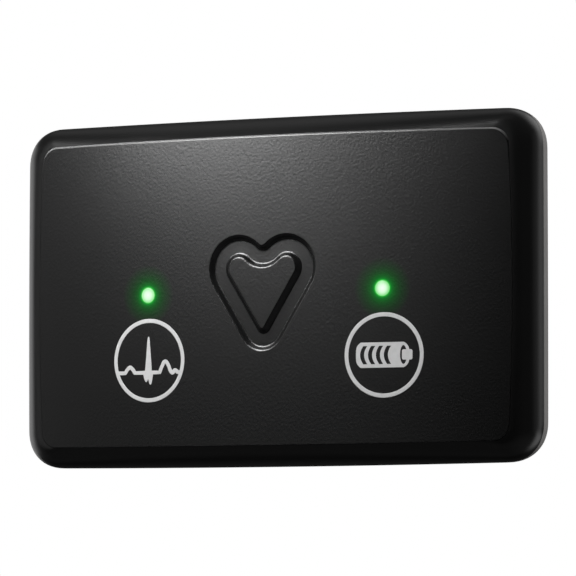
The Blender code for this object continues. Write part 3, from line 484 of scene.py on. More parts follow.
def guide_hole(side):
    """A round cutter through the face at a status light."""
    bpy.ops.mesh.primitive_cylinder_add(
        vertices=guide_sides,
        radius=guide_radius + guide_gap,
        depth=3 * floor_back,
        location=place(side * light_offset, sag(light_offset), light_rise),
        rotation=(math.pi / 2, 0, 0),
    )
    bpy.ops.object.transform_apply()
    return bpy.context.object


def use_modifier(piece, kind, **settings):
    """Adds a modifier with its settings and applies it."""
    only(piece)
    step = piece.modifiers.new(kind.lower(), kind)
    for name, value in settings.items():
        setattr(step, name, value)
    bpy.ops.object.modifier_apply(modifier=step.name)


def cut(piece, tool, operation="DIFFERENCE"):
    """Cuts a tool out of a piece, or joins it on, and removes the tool."""
    use_modifier(piece, "BOOLEAN", object=tool, operation=operation, solver="EXACT")
    bpy.data.objects.remove(tool, do_unlink=True)


def distance_from(centres, tree, spot):
    """A node with the distance from the nearest of some centres."""
    nearest = far_off
    for centre in centres:
        away = add(tree, "ShaderNodeVectorMath", {0: spot, 1: centre}, operation="DISTANCE")
        both = {0: nearest, 1: away.outputs["Value"]}
        nearest = add(tree, "ShaderNodeMath", both, operation="MINIMUM")
    return nearest


def grained_soft_touch():
    """Polyurethane soft-touch paint over a fine leather grain: matte black, with a wide dull sheen.

    Edges are smoother, where the paint pulls thin, and a painted highlight in grey lies along the top edge
    where it faces up.
    Grain about 0.4 mm wide. Round each light lie a painted green glow and a painted green tint of the
    sheen.
    """
    made, tree, shader, spot = new_material("soft_touch_coat", coat_colour, coat_roughness)
    normal = add(tree, "ShaderNodeNewGeometry").outputs["True Normal"]
    facing = add(tree, "ShaderNodeVectorMath", {0: normal, 1: (0.0, -1.0, 0.0)}, operation="DOT_PRODUCT")
    rough = add(
        tree,
        "ShaderNodeMapRange",
        {
            "Value": facing.outputs["Value"],
            "From Min": coat_edge_facing,
            "From Max": coat_flat_facing,
            "To Min": coat_edge_roughness,
            "To Max": coat_roughness,
        },
    )
    grain = add(
        tree, "ShaderNodeTexNoise", {"Vector": spot, "Scale": 2300.0, "Detail": 2.0, "Roughness": 0.5}
    )
    bump = add(tree, "ShaderNodeBump", {"Height": grain, "Strength": 0.9, "Distance": 0.00004})
    # Painted highlight: grey where the panel's top edge faces up.
    painted_highlight_mask = 1.0
    for upward, start, full in (
        (normal, painted_highlight_starts, painted_highlight_full),
        (spot, case_middle_rise + easing_start, case_middle_rise + easing_full),
    ):
        level = add(tree, "ShaderNodeSeparateXYZ", {0: upward}).outputs["Z"]
        within = add(tree, "ShaderNodeMapRange", {"Value": level, "From Min": start, "From Max": full})
        both = {0: painted_highlight_mask, 1: within}
        painted_highlight_mask = add(tree, "ShaderNodeMath", both, operation="MULTIPLY")
    tones = ((0, coat_colour), (1, painted_highlight_grey))
    tone = add(tree, "ShaderNodeValToRGB", {"Fac": painted_highlight_mask}, tones)
    # Painted glow round each light, and a painted green tint of the sheen there.
    away = distance_from(light_centres, tree, spot)
    share = add(tree, "ShaderNodeMath", {0: away, 1: glow_reach}, operation="DIVIDE")
    tones = [(radius / glow_reach, colour) for radius, colour in glow_steps]
    glow = add(tree, "ShaderNodeValToRGB", {"Fac": share}, tones)
    tones = ((0.3, "#8cff90"), (1, "#ffffff"))
    painted_sheen_tint = add(tree, "ShaderNodeValToRGB", {"Fac": share}, tones)
    feed(
        shader,
        {
            "Base Color": tone,
            "Emission Color": glow,
            "Emission Strength": glow_strength,
            "Specular Tint": painted_sheen_tint,
            "Roughness": rough,
            "Normal": bump,
        },
    )
    return made


soft_touch = grained_soft_touch()


def panel_edge_ring(eased, square):
    """A ring of the panel's front edge, which is eased along the top and square at the other sides."""
    rules = [ring(panel_outline(panel_gap + inset), depth, 1) for inset, depth in (eased, square)]

    def placed(across, up):
        eased_spot, square_spot = (rule(across, up) for rule in rules)
        return square_spot.lerp(eased_spot, near_top(eased_spot.z - case_middle_rise))

    return placed


panel_rings = [panel_edge_ring(*pair) for pair in zip(eased_edge, square_edge)]
panel_rings.append(ring(panel_outline(panel_gap), panel_thickness, 1))
face_panel = ringed_plate("face_panel_sheet", panel_rings)

wall, wall_reach = band_wall()
opening_rings = [(out, depth, 1) for out, depth in wall]
opening_rings = [(0, panel_thickness + band_depth, 1)] + opening_rings
opening_rings.append((2 * wall_reach, -band_depth, 1))
cut(face_panel, heart_solid("band_opening", opening_rings[::-1]))
for side in (-1, 1):
    cut(face_panel, guide_hole(side))
shade(face_panel, sharp_degrees=20)


def is_opening_edge(edge):
    """True on the line where the flat of the panel meets the wall of the key's opening."""
    if len(edge.link_faces) < 2 or abs(edge.verts[0].co.x) > 3 * heart_lobe:
        return False
    tilts = []
    for face in edge.link_faces:
        slope = math.asin(face.calc_center_median().x / face_radius)
        tilts.append(face.normal.angle(Vector((math.sin(slope), -math.cos(slope), 0))))
    return min(tilts) < flat_tilt < max(tilts)


bpy.ops.object.mode_set(mode="EDIT")
pick("EDGE", is_opening_edge)
bpy.ops.mesh.mark_sharp()
bpy.ops.object.mode_set(mode="OBJECT")
settle(face_panel, "case", ["face_panel"], soft_touch)


# Event key: a raised heart inside a sunken band, moulded in one and coated like the panel. The patient
# presses it to mark an event. A flange behind the panel keeps it in.
key_gap = 0.00005
key_floor_width = 0.0018
key_flange_width = 0.0009
key_flange_front = 0.0029
key_back = 0.0037
island_support = 0.0002

island_foot = -(key_gap + key_floor_width)
island_rings = [(island_foot - wall_reach - island_support, 0, 1)]
island_rings += [(island_foot - out, depth, 1) for out, depth in wall[::-1]]
island_rings += [
    (-key_gap, band_depth, 1),
    (-key_gap, key_flange_front, 1),
    (key_flange_width, key_flange_front, 1),
    (key_flange_width, key_back, 0),
]
event_key = heart_solid("event_key_heart", island_rings)
shade(event_key)
settle(event_key, "event_key", ["event_key"], soft_touch)
passage = [(0, recess_depth - panel_thickness, 1), (0, floor_back + panel_thickness, 1)]
cut(front_shell, heart_solid("key_passage", passage))


# Printed symbols: pale ink, pad printed on the soft-touch coat under each light. On the left a trace
# of one heartbeat in a ring, on the right a charged battery in a ring. The ink lies 0.02 mm thick.
ink_proud = 0.00002
symbol_rise = -0.01159
symbol_centre_left, symbol_centre_right = -0.02245, 0.02291
symbol_ring_radius = 0.00686
symbol_stroke = 0.00070
trace_stroke = 0.00072
trace_level = -0.00208
trace_before = [
    (-0.0064, 0),
    (-0.0049, 0),
    (-0.0044, 0.00065),
    (-0.0039, 0.00095),
    (-0.0034, 0.00065),
    (-0.0029, 0),
    (-0.0008, 0),
]
trace_after = [
    (0.0006, 0),
    (0.0022, 0),
    (0.0027, 0.0011),
    (0.0033, 0.00185),
    (0.0039, 0.0013),
    (0.0045, 0.0001),
    (0.0048, -0.0001),
    (0.0053, 0.0003),
    (0.0058, 0),
    (0.0063, -0.0001),
]
trace_beat = [
    (-0.00018, 0.00412),
    (0.00002, 0.00412),
    (0.00014, 0.0036),
    (0.00026, 0.0023),
    (0.00040, 0.0005),
    (0.00050, -0.0006),
    (0.00058, -0.0018),
    (0.00082, -0.0025),
    (0.00068, -0.0033),
    (0.00055, -0.0039),
    (0.00038, -0.00415),
    (0.00020, -0.00415),
    (0.00005, -0.0039),
    (-0.00008, -0.0034),
    (-0.00016, -0.0032),
    (-0.00027, -0.0034),
    (-0.00045, -0.0037),
    (-0.00062, -0.0037),
    (-0.00082, -0.0035),
    (-0.00098, -0.0031),
    (-0.00114, -0.0025),
    (-0.00080, -0.0018),
    (-0.00068, -0.0006),
    (-0.00057, 0.0005),
    (-0.00043, 0.0023),
    (-0.00030, 0.0036),
]
battery_half_height = 0.00214
battery_left, battery_left_bow = -0.0051, 0.0009
battery_right, battery_right_bow = 0.00464, 0.0010
cell_half_height = 0.00154
cell_width, cell_pitch, cell_count = 0.00075, 0.00145, 4
cell_left, cell_bow = -0.00375, 0.0006
lens_middle, lens_half_width, lens_half_height = 0.00357, 0.00062, 0.0016
lens_steps = 24
nub_middle, nub_half_width, nub_half_height, nub_corner = 0.00425, 0.00095, 0.00087, 0.0003
nub_corner_steps = 4
ring_segments, stroke_segments = 128, 12
# The ink's own light is a painted glow that lifts it in the shade.
ink_painted_glow = 0.20
bow_steps = 14
strip_width = 0.0008


def pad_printed_ink():
    """Two-part pad-printing ink: pale grey, dull, and a little thinner here and there.

    It is given some light of its own, a painted glow, so that it is nearly as pale in the shade.
    """
    made, tree, shader, spot = new_material("pale_printing_ink", "#a3a3a3", 0.55, ior=1.45)
    thin = add(tree, "ShaderNodeTexNoise", {"Vector": spot, "Scale": 1200.0, "Detail": 2.0})
    tones = ((0.3, "#9e9e9e"), (0.6, "#a5a5a5"))
    tone = add(tree, "ShaderNodeValToRGB", {"Fac": thin}, tones)
    feed(shader, {"Base Color": tone, "Emission Color": linear("#ffffff"), "Emission Strength": ink_painted_glow})
    return made


def lay_on_face(piece, centre_x):
    """Moves a flat print, modelled upright about the origin, to its place on the curved face."""
    for vert in piece.data.vertices:
        x = centre_x + vert.co.x
        vert.co = place(x, sag(x) + vert.co.y, symbol_rise + vert.co.z)


def finish_print(piece, name, centre_x):
    """Names a print, welds it, cuts it into strips that can bend, and lays it on the face."""
    piece.name = piece.data.name = name
    bpy.ops.object.mode_set(mode="EDIT")
    bpy.ops.mesh.select_all(action="SELECT")
    bpy.ops.mesh.remove_doubles(threshold=tolerance)
    strips = round(symbol_ring_radius / strip_width)
    for step in range(-strips, strips + 1):
        bpy.ops.mesh.select_all(action="SELECT")
        bpy.ops.mesh.bisect(plane_co=(step * strip_width, 0, 0), plane_no=(1, 0, 0))
    face_outwards()
    lay_on_face(piece, centre_x)
    shade(piece, sharp_degrees=40)
    settle(piece, "case", [], ink)


def bow(middle_x, reach, half_height, roundness=2):
    """Points up a bowed end, from below to above. Its ends lie off its middle by the reach."""
    points = []
    for step in range(bow_steps + 1):
        share = math.sin(math.pi * (step / bow_steps - 0.5))
        points.append((middle_x + reach * abs(share) ** roundness, half_height * share))
    return points


def new_object(name, data):
    """An object of the scene with the given data."""
    made = bpy.data.objects.new(name, data)
    bpy.context.scene.collection.objects.link(made)
    return made


def slab_outline(half_width, bottom, top, top_corner, bottom_corner, centre_x=0.0, corner_steps=8):
    """Points round an upright rectangle with round corners."""
    points = []
    for side, middle, corner, start in (
        (1, bottom + bottom_corner, bottom_corner, -90),
        (1, top - top_corner, top_corner, 0),
        (-1, top - top_corner, top_corner, 90),
        (-1, bottom + bottom_corner, bottom_corner, 180),
    ):
        for step in range(corner_steps + 1):
            turn = math.radians(start + 90 * step / corner_steps)
            x = centre_x + side * (half_width - corner) + corner * math.cos(turn)
            points.append((x, middle + corner * math.sin(turn)))
    return points


def flat_print(outlines):
    """A flat shape with holes, as a thin solid. The first outline is its edge."""
    curve = bpy.data.curves.new("print", "CURVE")
    curve.dimensions = "2D"
    curve.fill_mode = "BOTH"
    curve.extrude = ink_proud
    for outline in outlines:
        spline = curve.splines.new("POLY")
        spline.points.add(len(outline) - 1)
        for point, (x, rise) in zip(spline.points, outline):
            point.co = (x, rise, 0, 1)
        spline.use_cyclic_u = True
    made = new_object("print", curve)
    made.rotation_euler.x = math.pi / 2
    only(made)
    bpy.ops.object.convert(target="MESH")
    bpy.ops.object.transform_apply()
    return bpy.context.object


def circle(radius, steps=48):
    """Points of a circle about (0, 0)."""
    turns = [2 * math.pi * step / steps for step in range(steps)]
    return [(radius * math.cos(turn), radius * math.sin(turn)) for turn in turns]


ink = pad_printed_ink()
for name, centre_x in (("left", symbol_centre_left), ("right", symbol_centre_right)):
    bpy.ops.mesh.primitive_torus_add(
        major_radius=symbol_ring_radius,
        minor_radius=symbol_stroke / 2,
        major_segments=ring_segments,
        minor_segments=stroke_segments,
        rotation=(math.pi / 2, 0, 0),
    )
    symbol_ring = bpy.context.object
    symbol_ring.scale.z = ink_proud / (symbol_stroke / 2)
    bpy.ops.object.transform_apply()
    finish_print(symbol_ring, f"symbol_ring_{name}", centre_x)

for part, points in (("before", trace_before), ("after", trace_after)):
    line = bpy.data.curves.new("trace", "CURVE")
    line.dimensions = "3D"
    line.bevel_depth = trace_stroke / 2
    line.bevel_resolution = 3
    line.use_fill_caps = True
    spline = line.splines.new("BEZIER")
    spline.bezier_points.add(len(points) - 1)
    for point, (x, rise) in zip(spline.bezier_points, points):
        point.co = (x, 0, trace_level + rise)
        point.handle_left_type = point.handle_right_type = "VECTOR" if rise == 0 else "AUTO"
    trace = new_object("trace", line)
    only(trace)
    bpy.ops.object.convert(target="MESH")
    trace.scale.y = ink_proud / (trace_stroke / 2)
    bpy.ops.object.transform_apply()
    finish_print(trace, f"trace_{part}_beat", symbol_centre_left)
finish_print(flat_print([trace_beat]), "trace_beat", symbol_centre_left)

left_end = bow(battery_left, battery_left_bow, battery_half_height, 4)
right_end = bow(battery_right, -battery_right_bow, battery_half_height, 4)
battery_outlines = [right_end + left_end[::-1]]
for cell in range(cell_count):
    left = cell_left + cell * cell_pitch
    near = bow(left - cell_bow, cell_bow, cell_half_height)
    battery_outlines.append([(x + cell_width, rise) for x, rise in near] + near[::-1])
battery_outlines.append(
    [
        (lens_middle + lens_half_width * x, lens_half_height * rise)
        for x, rise in circle(1, lens_steps)
    ]
)
finish_print(flat_print(battery_outlines), "battery_symbol", symbol_centre_right)

nub_outline = slab_outline(
    nub_half_width,
    -nub_half_height,
    nub_half_height,
    nub_corner,
    nub_corner,
    nub_middle,
    nub_corner_steps,
)
finish_print(flat_print([nub_outline]), "battery_symbol_terminal", symbol_centre_right)


# Light guides: clear polycarbonate rods that carry the light of the lamps on the board to the face.
# Both lamps are lit: each guide glows green, nearly white in its middle. The flange that holds each
# guide behind the panel is left out.
guide_proud = 0.00002
guide_bevel = 0.0001
guide_tones = (
    (0, "#f6fff6"),
    (0.45, "#e2fee2"),
    (0.7, "#c8f8c8"),
    (0.88, "#a4eaa6"),
    (1, "#86dc88"),
)


def lit_polycarbonate():
    """Clear polycarbonate with a green lamp behind it: nearly white, and greener to its edge."""
    made, tree, shader, spot = new_material("lit_polycarbonate", "#0c2a10", 0.2, ior=1.58)
    away = distance_from(light_centres, tree, spot)
    share = add(tree, "ShaderNodeMath", {0: away, 1: guide_radius}, operation="DIVIDE")
    glow = add(tree, "ShaderNodeValToRGB", {"Fac": share}, guide_tones)
    feed(shader, {"Emission Color": glow, "Emission Strength": 1.0})
    return made


lit_guide = lit_polycarbonate()
for name, side in (("left", -1), ("right", 1)):
    node = f"light_guide_{name}"
    low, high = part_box(node)
    guide_front = sag(light_offset) - guide_proud
    bpy.ops.mesh.primitive_cylinder_add(
        vertices=guide_sides,
        radius=guide_radius,
        depth=high.y - low.y,
        location=(
            side * light_offset,
            case_low.y + guide_front + (high.y - low.y) / 2,
            case_middle_rise + light_rise,
        ),
        rotation=(math.pi / 2, 0, 0),
    )
    guide = bpy.context.object
    guide.name = guide.data.name = f"{node}_rod"
    bpy.ops.object.transform_apply()
    use_modifier(guide, "BEVEL", width=guide_bevel, segments=3, limit_method="ANGLE")
    shade(guide)
    settle(guide, "case", [node], lit_guide)
    cut(front_shell, guide_hole(side))


# Rear shell: the grey half of the case, moulded in ABS with a fine spark-eroded grain. Its tongue goes
# into the front shell's rebate, and its back holds the battery bay, the door's recess, a finger scoop,
# the four counterbores of the case screws and, in the top wall, the way out for the lead socket.
split_gap = 0.00006
rear_front = split_depth + split_gap
rear_step = 0.00001
rear_rounding = 0.0064
rear_rim_steps = 20
tongue_front = 0.00696
tongue_inset = 0.0014
back_wall = 0.0016
back_inner = case_depth - back_wall
inner_rounding = 0.0042
inner_straight = 0.00856
inner_steps = 8
overrun = 0.0003

board_front, board_back = 0.006195, 0.006995
bay_floor_front, bay_floor_back = 0.007595, 0.008395
bay_half_width, bay_bottom, bay_top = 0.03091, -0.01806, 0.01566
bay_corner = 0.0014
tub_reach = 0.0021
door_gap = 0.00012
door_half_width, door_top, door_corner, door_foot_corner = 0.03311, 0.01786, 0.0030, 0.0004
door_front = 0.012695
ledge_depth = 0.011395
hinge_rise, hinge_radius = -0.02056, 0.0012
hinge_depth = case_depth - hinge_radius
door_bottom = hinge_rise - hinge_radius
edge_softening = 0.00015

screw_x, screw_rise = 0.04161, 0.02176
shank_radius = 0.0008
head_radius = 0.0018
head_clearance = 0.0001
head_front, head_back = 0.012695, 0.013895
post_radius, nose_radius, nose_back = 0.0040, 0.0024, 0.008995
scoop_radius, scoop_depth = 0.0120, 0.0009

socket_half_width, socket_bottom, socket_top = 0.0075, 0.02056, 0.02606
snout_half_width, snout_top = 0.0065, 0.02756
snout_front, snout_back = 0.008895, 0.011895
snout_gap, snout_way_corner = 0.00015, 0.0006
case_top = case_half_height + case_top_bow


def rounded_back(straight_depth, end_depth, start_inset, rounding, steps):
    """Rings of a wall that rounds in from a straight stretch to the flat of the back."""
    rings = []
    for step in range(steps + 1):
        turn = math.pi / 2 * step / steps
        inset = start_inset + rounding * (1 - math.cos(turn))
        depth = straight_depth + (end_depth - straight_depth) * math.sin(turn)
        rings.append(ring(case_outline(inset), depth))
    return rings


def slab(name, *levels):
    """A closed solid through outlines at their depths, the front one first."""
    return lofted(
        name, [[place(x, depth, rise) for x, rise in outline] for outline, depth in levels]
    )


def turned(name, x, rise, profile):
    """A solid turned about a line from front to back. Its profile is (radius, depth), front first."""
    return lofted(
        name,
        [
            [place(x + across, depth, rise + up) for across, up in circle(radius)]
            for radius, depth in profile
        ],
    )


def hinge_bar(name, radius, half_length):
    """A round bar along the door's hinge line, with softened ends."""
    return lofted(
        name,
        [
            [place(x, hinge_depth + back, hinge_rise + up) for back, up in circle(radius - inset)]
            for x, inset in (
                (-half_length, edge_softening),
                (edge_softening - half_length, 0),
                (half_length - edge_softening, 0),
                (half_length, edge_softening),
            )
        ],
    )


def door_outline(outset=0.0, bottom=door_bottom):
    """The door's outline, or one that lies outside it by an outset."""
    return slab_outline(
        door_half_width + outset, bottom - outset, door_top + outset, door_corner, door_foot_corner
    )


def moulded_grey_abs():
    """ABS from a spark-eroded mould: light grey, matte, with a fine even grain.

    The real grain, about 0.05 mm, is too fine to show and is drawn 0.4 mm wide.
    """
    made, tree, shader, spot = new_material("matte_grey_abs", "#a9a7a5", 0.45, ior=1.53)
    grain = add(tree, "ShaderNodeTexNoise", {"Vector": spot, "Scale": 2500.0, "Detail": 2.0})
    drift = add(tree, "ShaderNodeTexNoise", {"Vector": spot, "Scale": 60.0, "Detail": 2.0})
    tones = ((0.35, "#a6a4a2"), (0.65, "#aba9a7"))
    tone = add(tree, "ShaderNodeValToRGB", {"Fac": drift}, tones)
    rough = add(tree, "ShaderNodeMapRange", {"Value": grain, "To Min": 0.4, "To Max": 0.52})
    bump = add(tree, "ShaderNodeBump", {"Height": grain, "Strength": 0.2, "Distance": 0.00002})
    feed(shader, {"Base Color": tone, "Roughness": rough, "Normal": bump})
    return made


grey_abs = moulded_grey_abs()
rear_rings = rounded_back(inner_straight, back_inner, land_inset, inner_rounding, inner_steps)[::-1]
rear_rings += [
    ring(case_outline(land_inset), tongue_front),
    ring(case_outline(tongue_inset), tongue_front),
    ring(case_outline(tongue_inset), rear_front),
    ring(case_outline(rear_step + rim_lip), rear_front),
]
rear_rings += rounded_back(
    rear_front + rim_lip, case_depth, rear_step, rear_rounding, rear_rim_steps
)
rear_shell = ringed_plate("rear_shell_moulding", rear_rings)
tub = slab_outline(
    door_half_width + door_gap + tub_reach,
    door_bottom - door_gap - tub_reach,
    door_top + door_gap + tub_reach,
    door_corner,
    door_corner,
)
cut(rear_shell, slab("bay_tub", (tub, bay_floor_front), (tub, back_inner + overrun)), "UNION")
beyond = case_depth + overrun
screw_places = [(side * screw_x, level * screw_rise) for side in (-1, 1) for level in (-1, 1)]
for x, rise in screw_places:
    post = [(post_radius, board_back + overrun), (post_radius, back_inner + overrun)]
    cut(rear_shell, turned("post", x, rise, post), "UNION")
    sleeve = [(nose_radius + overrun, board_back), (nose_radius + overrun, nose_back + overrun)]
    cut(rear_shell, turned("post_sleeve", x, rise, sleeve))
    bore_radius = shank_radius + 2 * head_clearance
    head_bore = head_radius + head_clearance
    bore = [
        (bore_radius, nose_back),
        (bore_radius, head_front - overrun),
        (bore_radius, head_front),
        (head_bore, head_front),
        (head_bore, case_depth - edge_softening),
        (head_bore + 3 * edge_softening, case_depth + 2 * edge_softening),
    ]
    cut(rear_shell, turned("counterbore", x, rise, bore))

bay = slab_outline(bay_half_width, bay_bottom, bay_top, bay_corner, bay_corner)
cut(rear_shell, slab("bay_pocket", (bay, bay_floor_back), (bay, beyond)))
cut(
    rear_shell,
    slab(
        "door_recess",
        (door_outline(door_gap), ledge_depth),
        (door_outline(door_gap), case_depth - edge_softening),
        (door_outline(door_gap + 3 * edge_softening), case_depth + 2 * edge_softening),
    ),
)
trunnion_radius, trunnion_length = 0.0005, 0.0012
trunnion_half_length = door_half_width + trunnion_length
cut(
    rear_shell,
    hinge_bar("trunnion_holes", trunnion_radius + door_gap, trunnion_half_length + door_gap),
)
bpy.ops.mesh.primitive_uv_sphere_add(
    segments=96,
    ring_count=48,
    radius=scoop_radius,
    location=place(0, case_depth + scoop_radius - scoop_depth, door_top),
)
bpy.ops.object.transform_apply()
cut(rear_shell, bpy.context.object)

contact_x, contact_bottom, contact_top = -0.005955, 0.00866, 0.01266
contact_half_width = 0.0053
card_x, card_bottom_edge, card_top_edge = 0.0236, -0.01716, -0.00126
holder_half_width = 0.0062
for name, centre_x, half_width, low, high in (
    ("contact_window", contact_x, contact_half_width, contact_bottom, contact_top + overrun),
    ("card_window", card_x, holder_half_width + overrun, card_bottom_edge, card_top_edge),
):
    window = slab_outline(half_width, low, high, overrun, overrun, centre_x)
    cut(rear_shell, slab(name, (window, board_back), (window, bay_floor_back + overrun)))
pocket = slab_outline(
    socket_half_width + overrun, socket_bottom, socket_top + overrun, rim_lip, rim_lip
)
cut(rear_shell, slab("socket_pocket", (pocket, board_back), (pocket, snout_back + overrun)))


def upright_slab(name, half_width, front, back, corner, *rises):
    """A closed solid with round corners seen from above, through (rise, outset) levels from below."""
    middle = (front + back) / 2
    half_depth = (back - front) / 2
    rings = []
    for rise, outset in rises:
        outline = slab_outline(
            half_width + outset, -half_depth - outset, half_depth + outset, corner, corner
        )
        rings.append([place(x, middle - depth, rise) for x, depth in outline])
    return lofted(name, rings)


cut(
    rear_shell,
    upright_slab(
        "snout_way_out",
        snout_half_width + snout_gap,
        snout_front - snout_gap,
        snout_back + snout_gap,
        snout_way_corner,
        (socket_top - overrun, 0),
        (case_top + overrun, 0),
    ),
)
shade(rear_shell)
settle(rear_shell, "case", ["rear_shell"], grey_abs)


# Battery door: the same grey ABS, a flat plate that closes flush with the back. It turns on a round roll
# along its foot, whose two trunnions snap into the rear shell, and its edges are softened in the mould.
door_plate = slab(
    "battery_door_plate",
    (door_outline(bottom=hinge_rise), door_front),
    (door_outline(bottom=hinge_rise), case_depth - edge_softening),
    (door_outline(-edge_softening / 3, hinge_rise), case_depth - edge_softening / 3),
    (door_outline(-edge_softening, hinge_rise), case_depth),
)
cut(door_plate, hinge_bar("hinge_roll", hinge_radius, door_half_width), "UNION")
cut(door_plate, hinge_bar("trunnions", trunnion_radius, trunnion_half_length), "UNION")
shade(door_plate)
settle(door_plate, "battery_door", ["battery_door"], grey_abs)


# Case screws: four slotted machine screws of stainless steel, turned, sunk into the counterbores. They
# go through the rear shell's posts into the bosses behind the front shell's floor.
drive_slot_width, drive_slot_depth = 0.0005, 0.0006
head_crown = 0.0001
lathe_ring_spacing = 0.00005


def turned_stainless_steel():
    """Stainless steel off a lathe: bright, with fine rings round each screw about 0.05 mm apart."""
    made, tree, shader, spot = new_material("turned_stainless_steel", "#c4c4c6", 0.28, metallic=1.0)
    away = distance_from([place(x, head_back, rise) for x, rise in screw_places], tree, spot)
    turns = {0: away, 1: 2 * math.pi / lathe_ring_spacing}
    rings = add(tree, "ShaderNodeMath", turns, operation="MULTIPLY")
    wave = add(tree, "ShaderNodeMath", {0: rings}, operation="SINE")
    bump = add(tree, "ShaderNodeBump", {"Height": wave, "Strength": 0.15, "Distance": 0.000005})
    wear = add(tree, "ShaderNodeTexNoise", {"Vector": spot, "Scale": 1500.0, "Detail": 3.0})
    rough = add(tree, "ShaderNodeMapRange", {"Value": wear, "To Min": 0.2, "To Max": 0.38})
    feed(shader, {"Roughness": rough, "Normal": bump})
    return made


def copied(piece, name, offset):
    """A copy of a piece with its own mesh, moved by an offset."""
    made = new_object(name, piece.data.copy())
    made.data.name = name
    for vert in made.data.vertices:
        vert.co += offset
    return made


screw_steel = turned_stainless_steel()
screw_profile = [
    (shank_radius, board_front),
    (shank_radius, head_front),
    (head_radius, head_front),
    (head_radius, head_back - 2 * edge_softening),
    (head_radius - edge_softening / 2, head_back - 1.2 * edge_softening),
    (head_radius - edge_softening, head_back - head_crown),
    (head_radius / 2, head_back - head_crown / 4),
    (head_radius / 8, head_back),
]
first_x, first_rise = screw_places[0]
screw = turned("case_screw_1_turned", first_x, first_rise, screw_profile)
slot_outline = slab_outline(
    head_radius + overrun,
    first_rise - drive_slot_width / 2,
    first_rise + drive_slot_width / 2,
    rim_lip,
    rim_lip,
    first_x,
)
cut(screw, slab("slot", (slot_outline, head_back - drive_slot_depth), (slot_outline, beyond)))
for number, (x, rise) in enumerate(screw_places, 1):
    node = f"case_screw_{number}"
    made = screw
    if number > 1:
        made = copied(screw, f"{node}_turned", Vector((x - first_x, 0, rise - first_rise)))
    shade(made)
    settle(made, "case", [node], screw_steel)


# Patient-lead socket: a black glass-filled nylon housing on the board, whose snout looks out through the
# top wall. Seven gold-plated pins stand in a white ceramic insulator in its mouth.
snout_wall = 0.0004
socket_floor = 0.0010
mouth_bottom = socket_bottom + socket_floor
mouth_corner = 0.0004
insulator_height = 0.0016
pin_count, pin_radius = 7, 0.0003
pin_sides = 24
# Each pair is a share of a pin's radius, and how many radii it lies below the tip.
pin_tip_widths = ((1, 2), (0.85, 1), (0.55, 1 / 3), (0.2, 0))


def softened_top(bottom, top):
    """The levels of an upright slab whose top edge is softened."""
    return (bottom, 0), (top - edge_softening, 0), (top, -edge_softening)


def glass_filled_nylon():
    """Glass-filled nylon: black and matte, flecked with pale glass fibres about 0.3 mm long."""
    made, tree, shader, spot = new_material("glass_filled_nylon", "#26272a", 0.5, ior=1.53)
    fibres = add(tree, "ShaderNodeTexVoronoi", {"Vector": spot, "Scale": 3500.0})
    tones = ((0.05, "#3a3b3e"), (0.25, "#222326"))
    tone = add(tree, "ShaderNodeValToRGB", {"Fac": fibres}, tones)
    bump = add(tree, "ShaderNodeBump", {"Height": fibres, "Strength": 0.15, "Distance": 0.00001})
    feed(shader, {"Base Color": tone, "Normal": bump})
    return made


def gold_plated_brass():
    """Gold flash over brass: warm and bright, a little duller where it was wiped in use."""
    made, tree, shader, spot = new_material("gold_plated_brass", "#edc77e", 0.22, metallic=1.0)
    wiped = add(tree, "ShaderNodeTexNoise", {"Vector": spot, "Scale": 1800.0, "Detail": 3.0})
    rough = add(tree, "ShaderNodeMapRange", {"Value": wiped, "To Min": 0.15, "To Max": 0.32})
    feed(shader, {"Roughness": rough})
    return made


def fired_ceramic():
    """Fired alumina: off-white, dull, with a sugary grain that is drawn 0.2 mm wide to show at all."""
    made, tree, shader, spot = new_material("fired_ceramic", "#cdc9c2", 0.4, ior=1.7)
    grain = add(tree, "ShaderNodeTexNoise", {"Vector": spot, "Scale": 6000.0, "Detail": 2.0})
    tones = ((0.35, "#c4bfb7"), (0.65, "#d6d3cc"))
    tone = add(tree, "ShaderNodeValToRGB", {"Fac": grain}, tones)
    feed(shader, {"Base Color": tone})
    return made


nylon = glass_filled_nylon()
gold = gold_plated_brass()
ceramic = fired_ceramic()
socket_body = upright_slab(
    "lead_socket_housing",
    socket_half_width,
    board_back + overrun,
    snout_back,
    mouth_corner,
    *softened_top(socket_bottom, socket_top),
)
snout = upright_slab(
    "snout",
    snout_half_width,
    snout_front,
    snout_back - snout_wall,
    mouth_corner,
    *softened_top(mouth_bottom, snout_top),
)
cut(socket_body, snout, "UNION")
mouth_front, mouth_back = snout_front + snout_wall, snout_back - 2 * snout_wall
cut(
    socket_body,
    upright_slab(
        "mouth",
        snout_half_width - snout_wall,
        mouth_front,
        mouth_back,
        mouth_corner,
        (mouth_bottom, 0),
        (snout_top - edge_softening, 0),
        (snout_top + edge_softening, edge_softening),
    ),
)
shade(socket_body)
settle(socket_body, "case", ["lead_socket"], nylon)

low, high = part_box("lead_insulator")
insulator = upright_slab(
    "lead_insulator_fired",
    (high.x - low.x) / 2,
    low.y - case_low.y,
    high.y - case_low.y,
    overrun,
    *softened_top(mouth_bottom + overrun, mouth_bottom + overrun + insulator_height),
)
shade(insulator)
settle(insulator, "case", ["lead_insulator"], ceramic)

for number in range(1, pin_count + 1):
    node = f"lead_pin_{number}"
    low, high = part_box(node)
    middle = (low + high) / 2
    if number == 1:
        rings = []
        for width, below_tip in ((1, (high.z - low.z) / pin_radius),) + pin_tip_widths:
            rise = high.z - below_tip * pin_radius
            points = circle(width * pin_radius, pin_sides)
            rings.append([Vector((middle.x + x, middle.y + y, rise)) for x, y in points])
        first_pin = made = lofted(f"{node}_plated", rings)
        first_pin_x = middle.x
    else:
        made = copied(first_pin, f"{node}_plated", Vector((middle.x - first_pin_x, 0, 0)))
    shade(made)
    settle(made, "case", [node], gold)


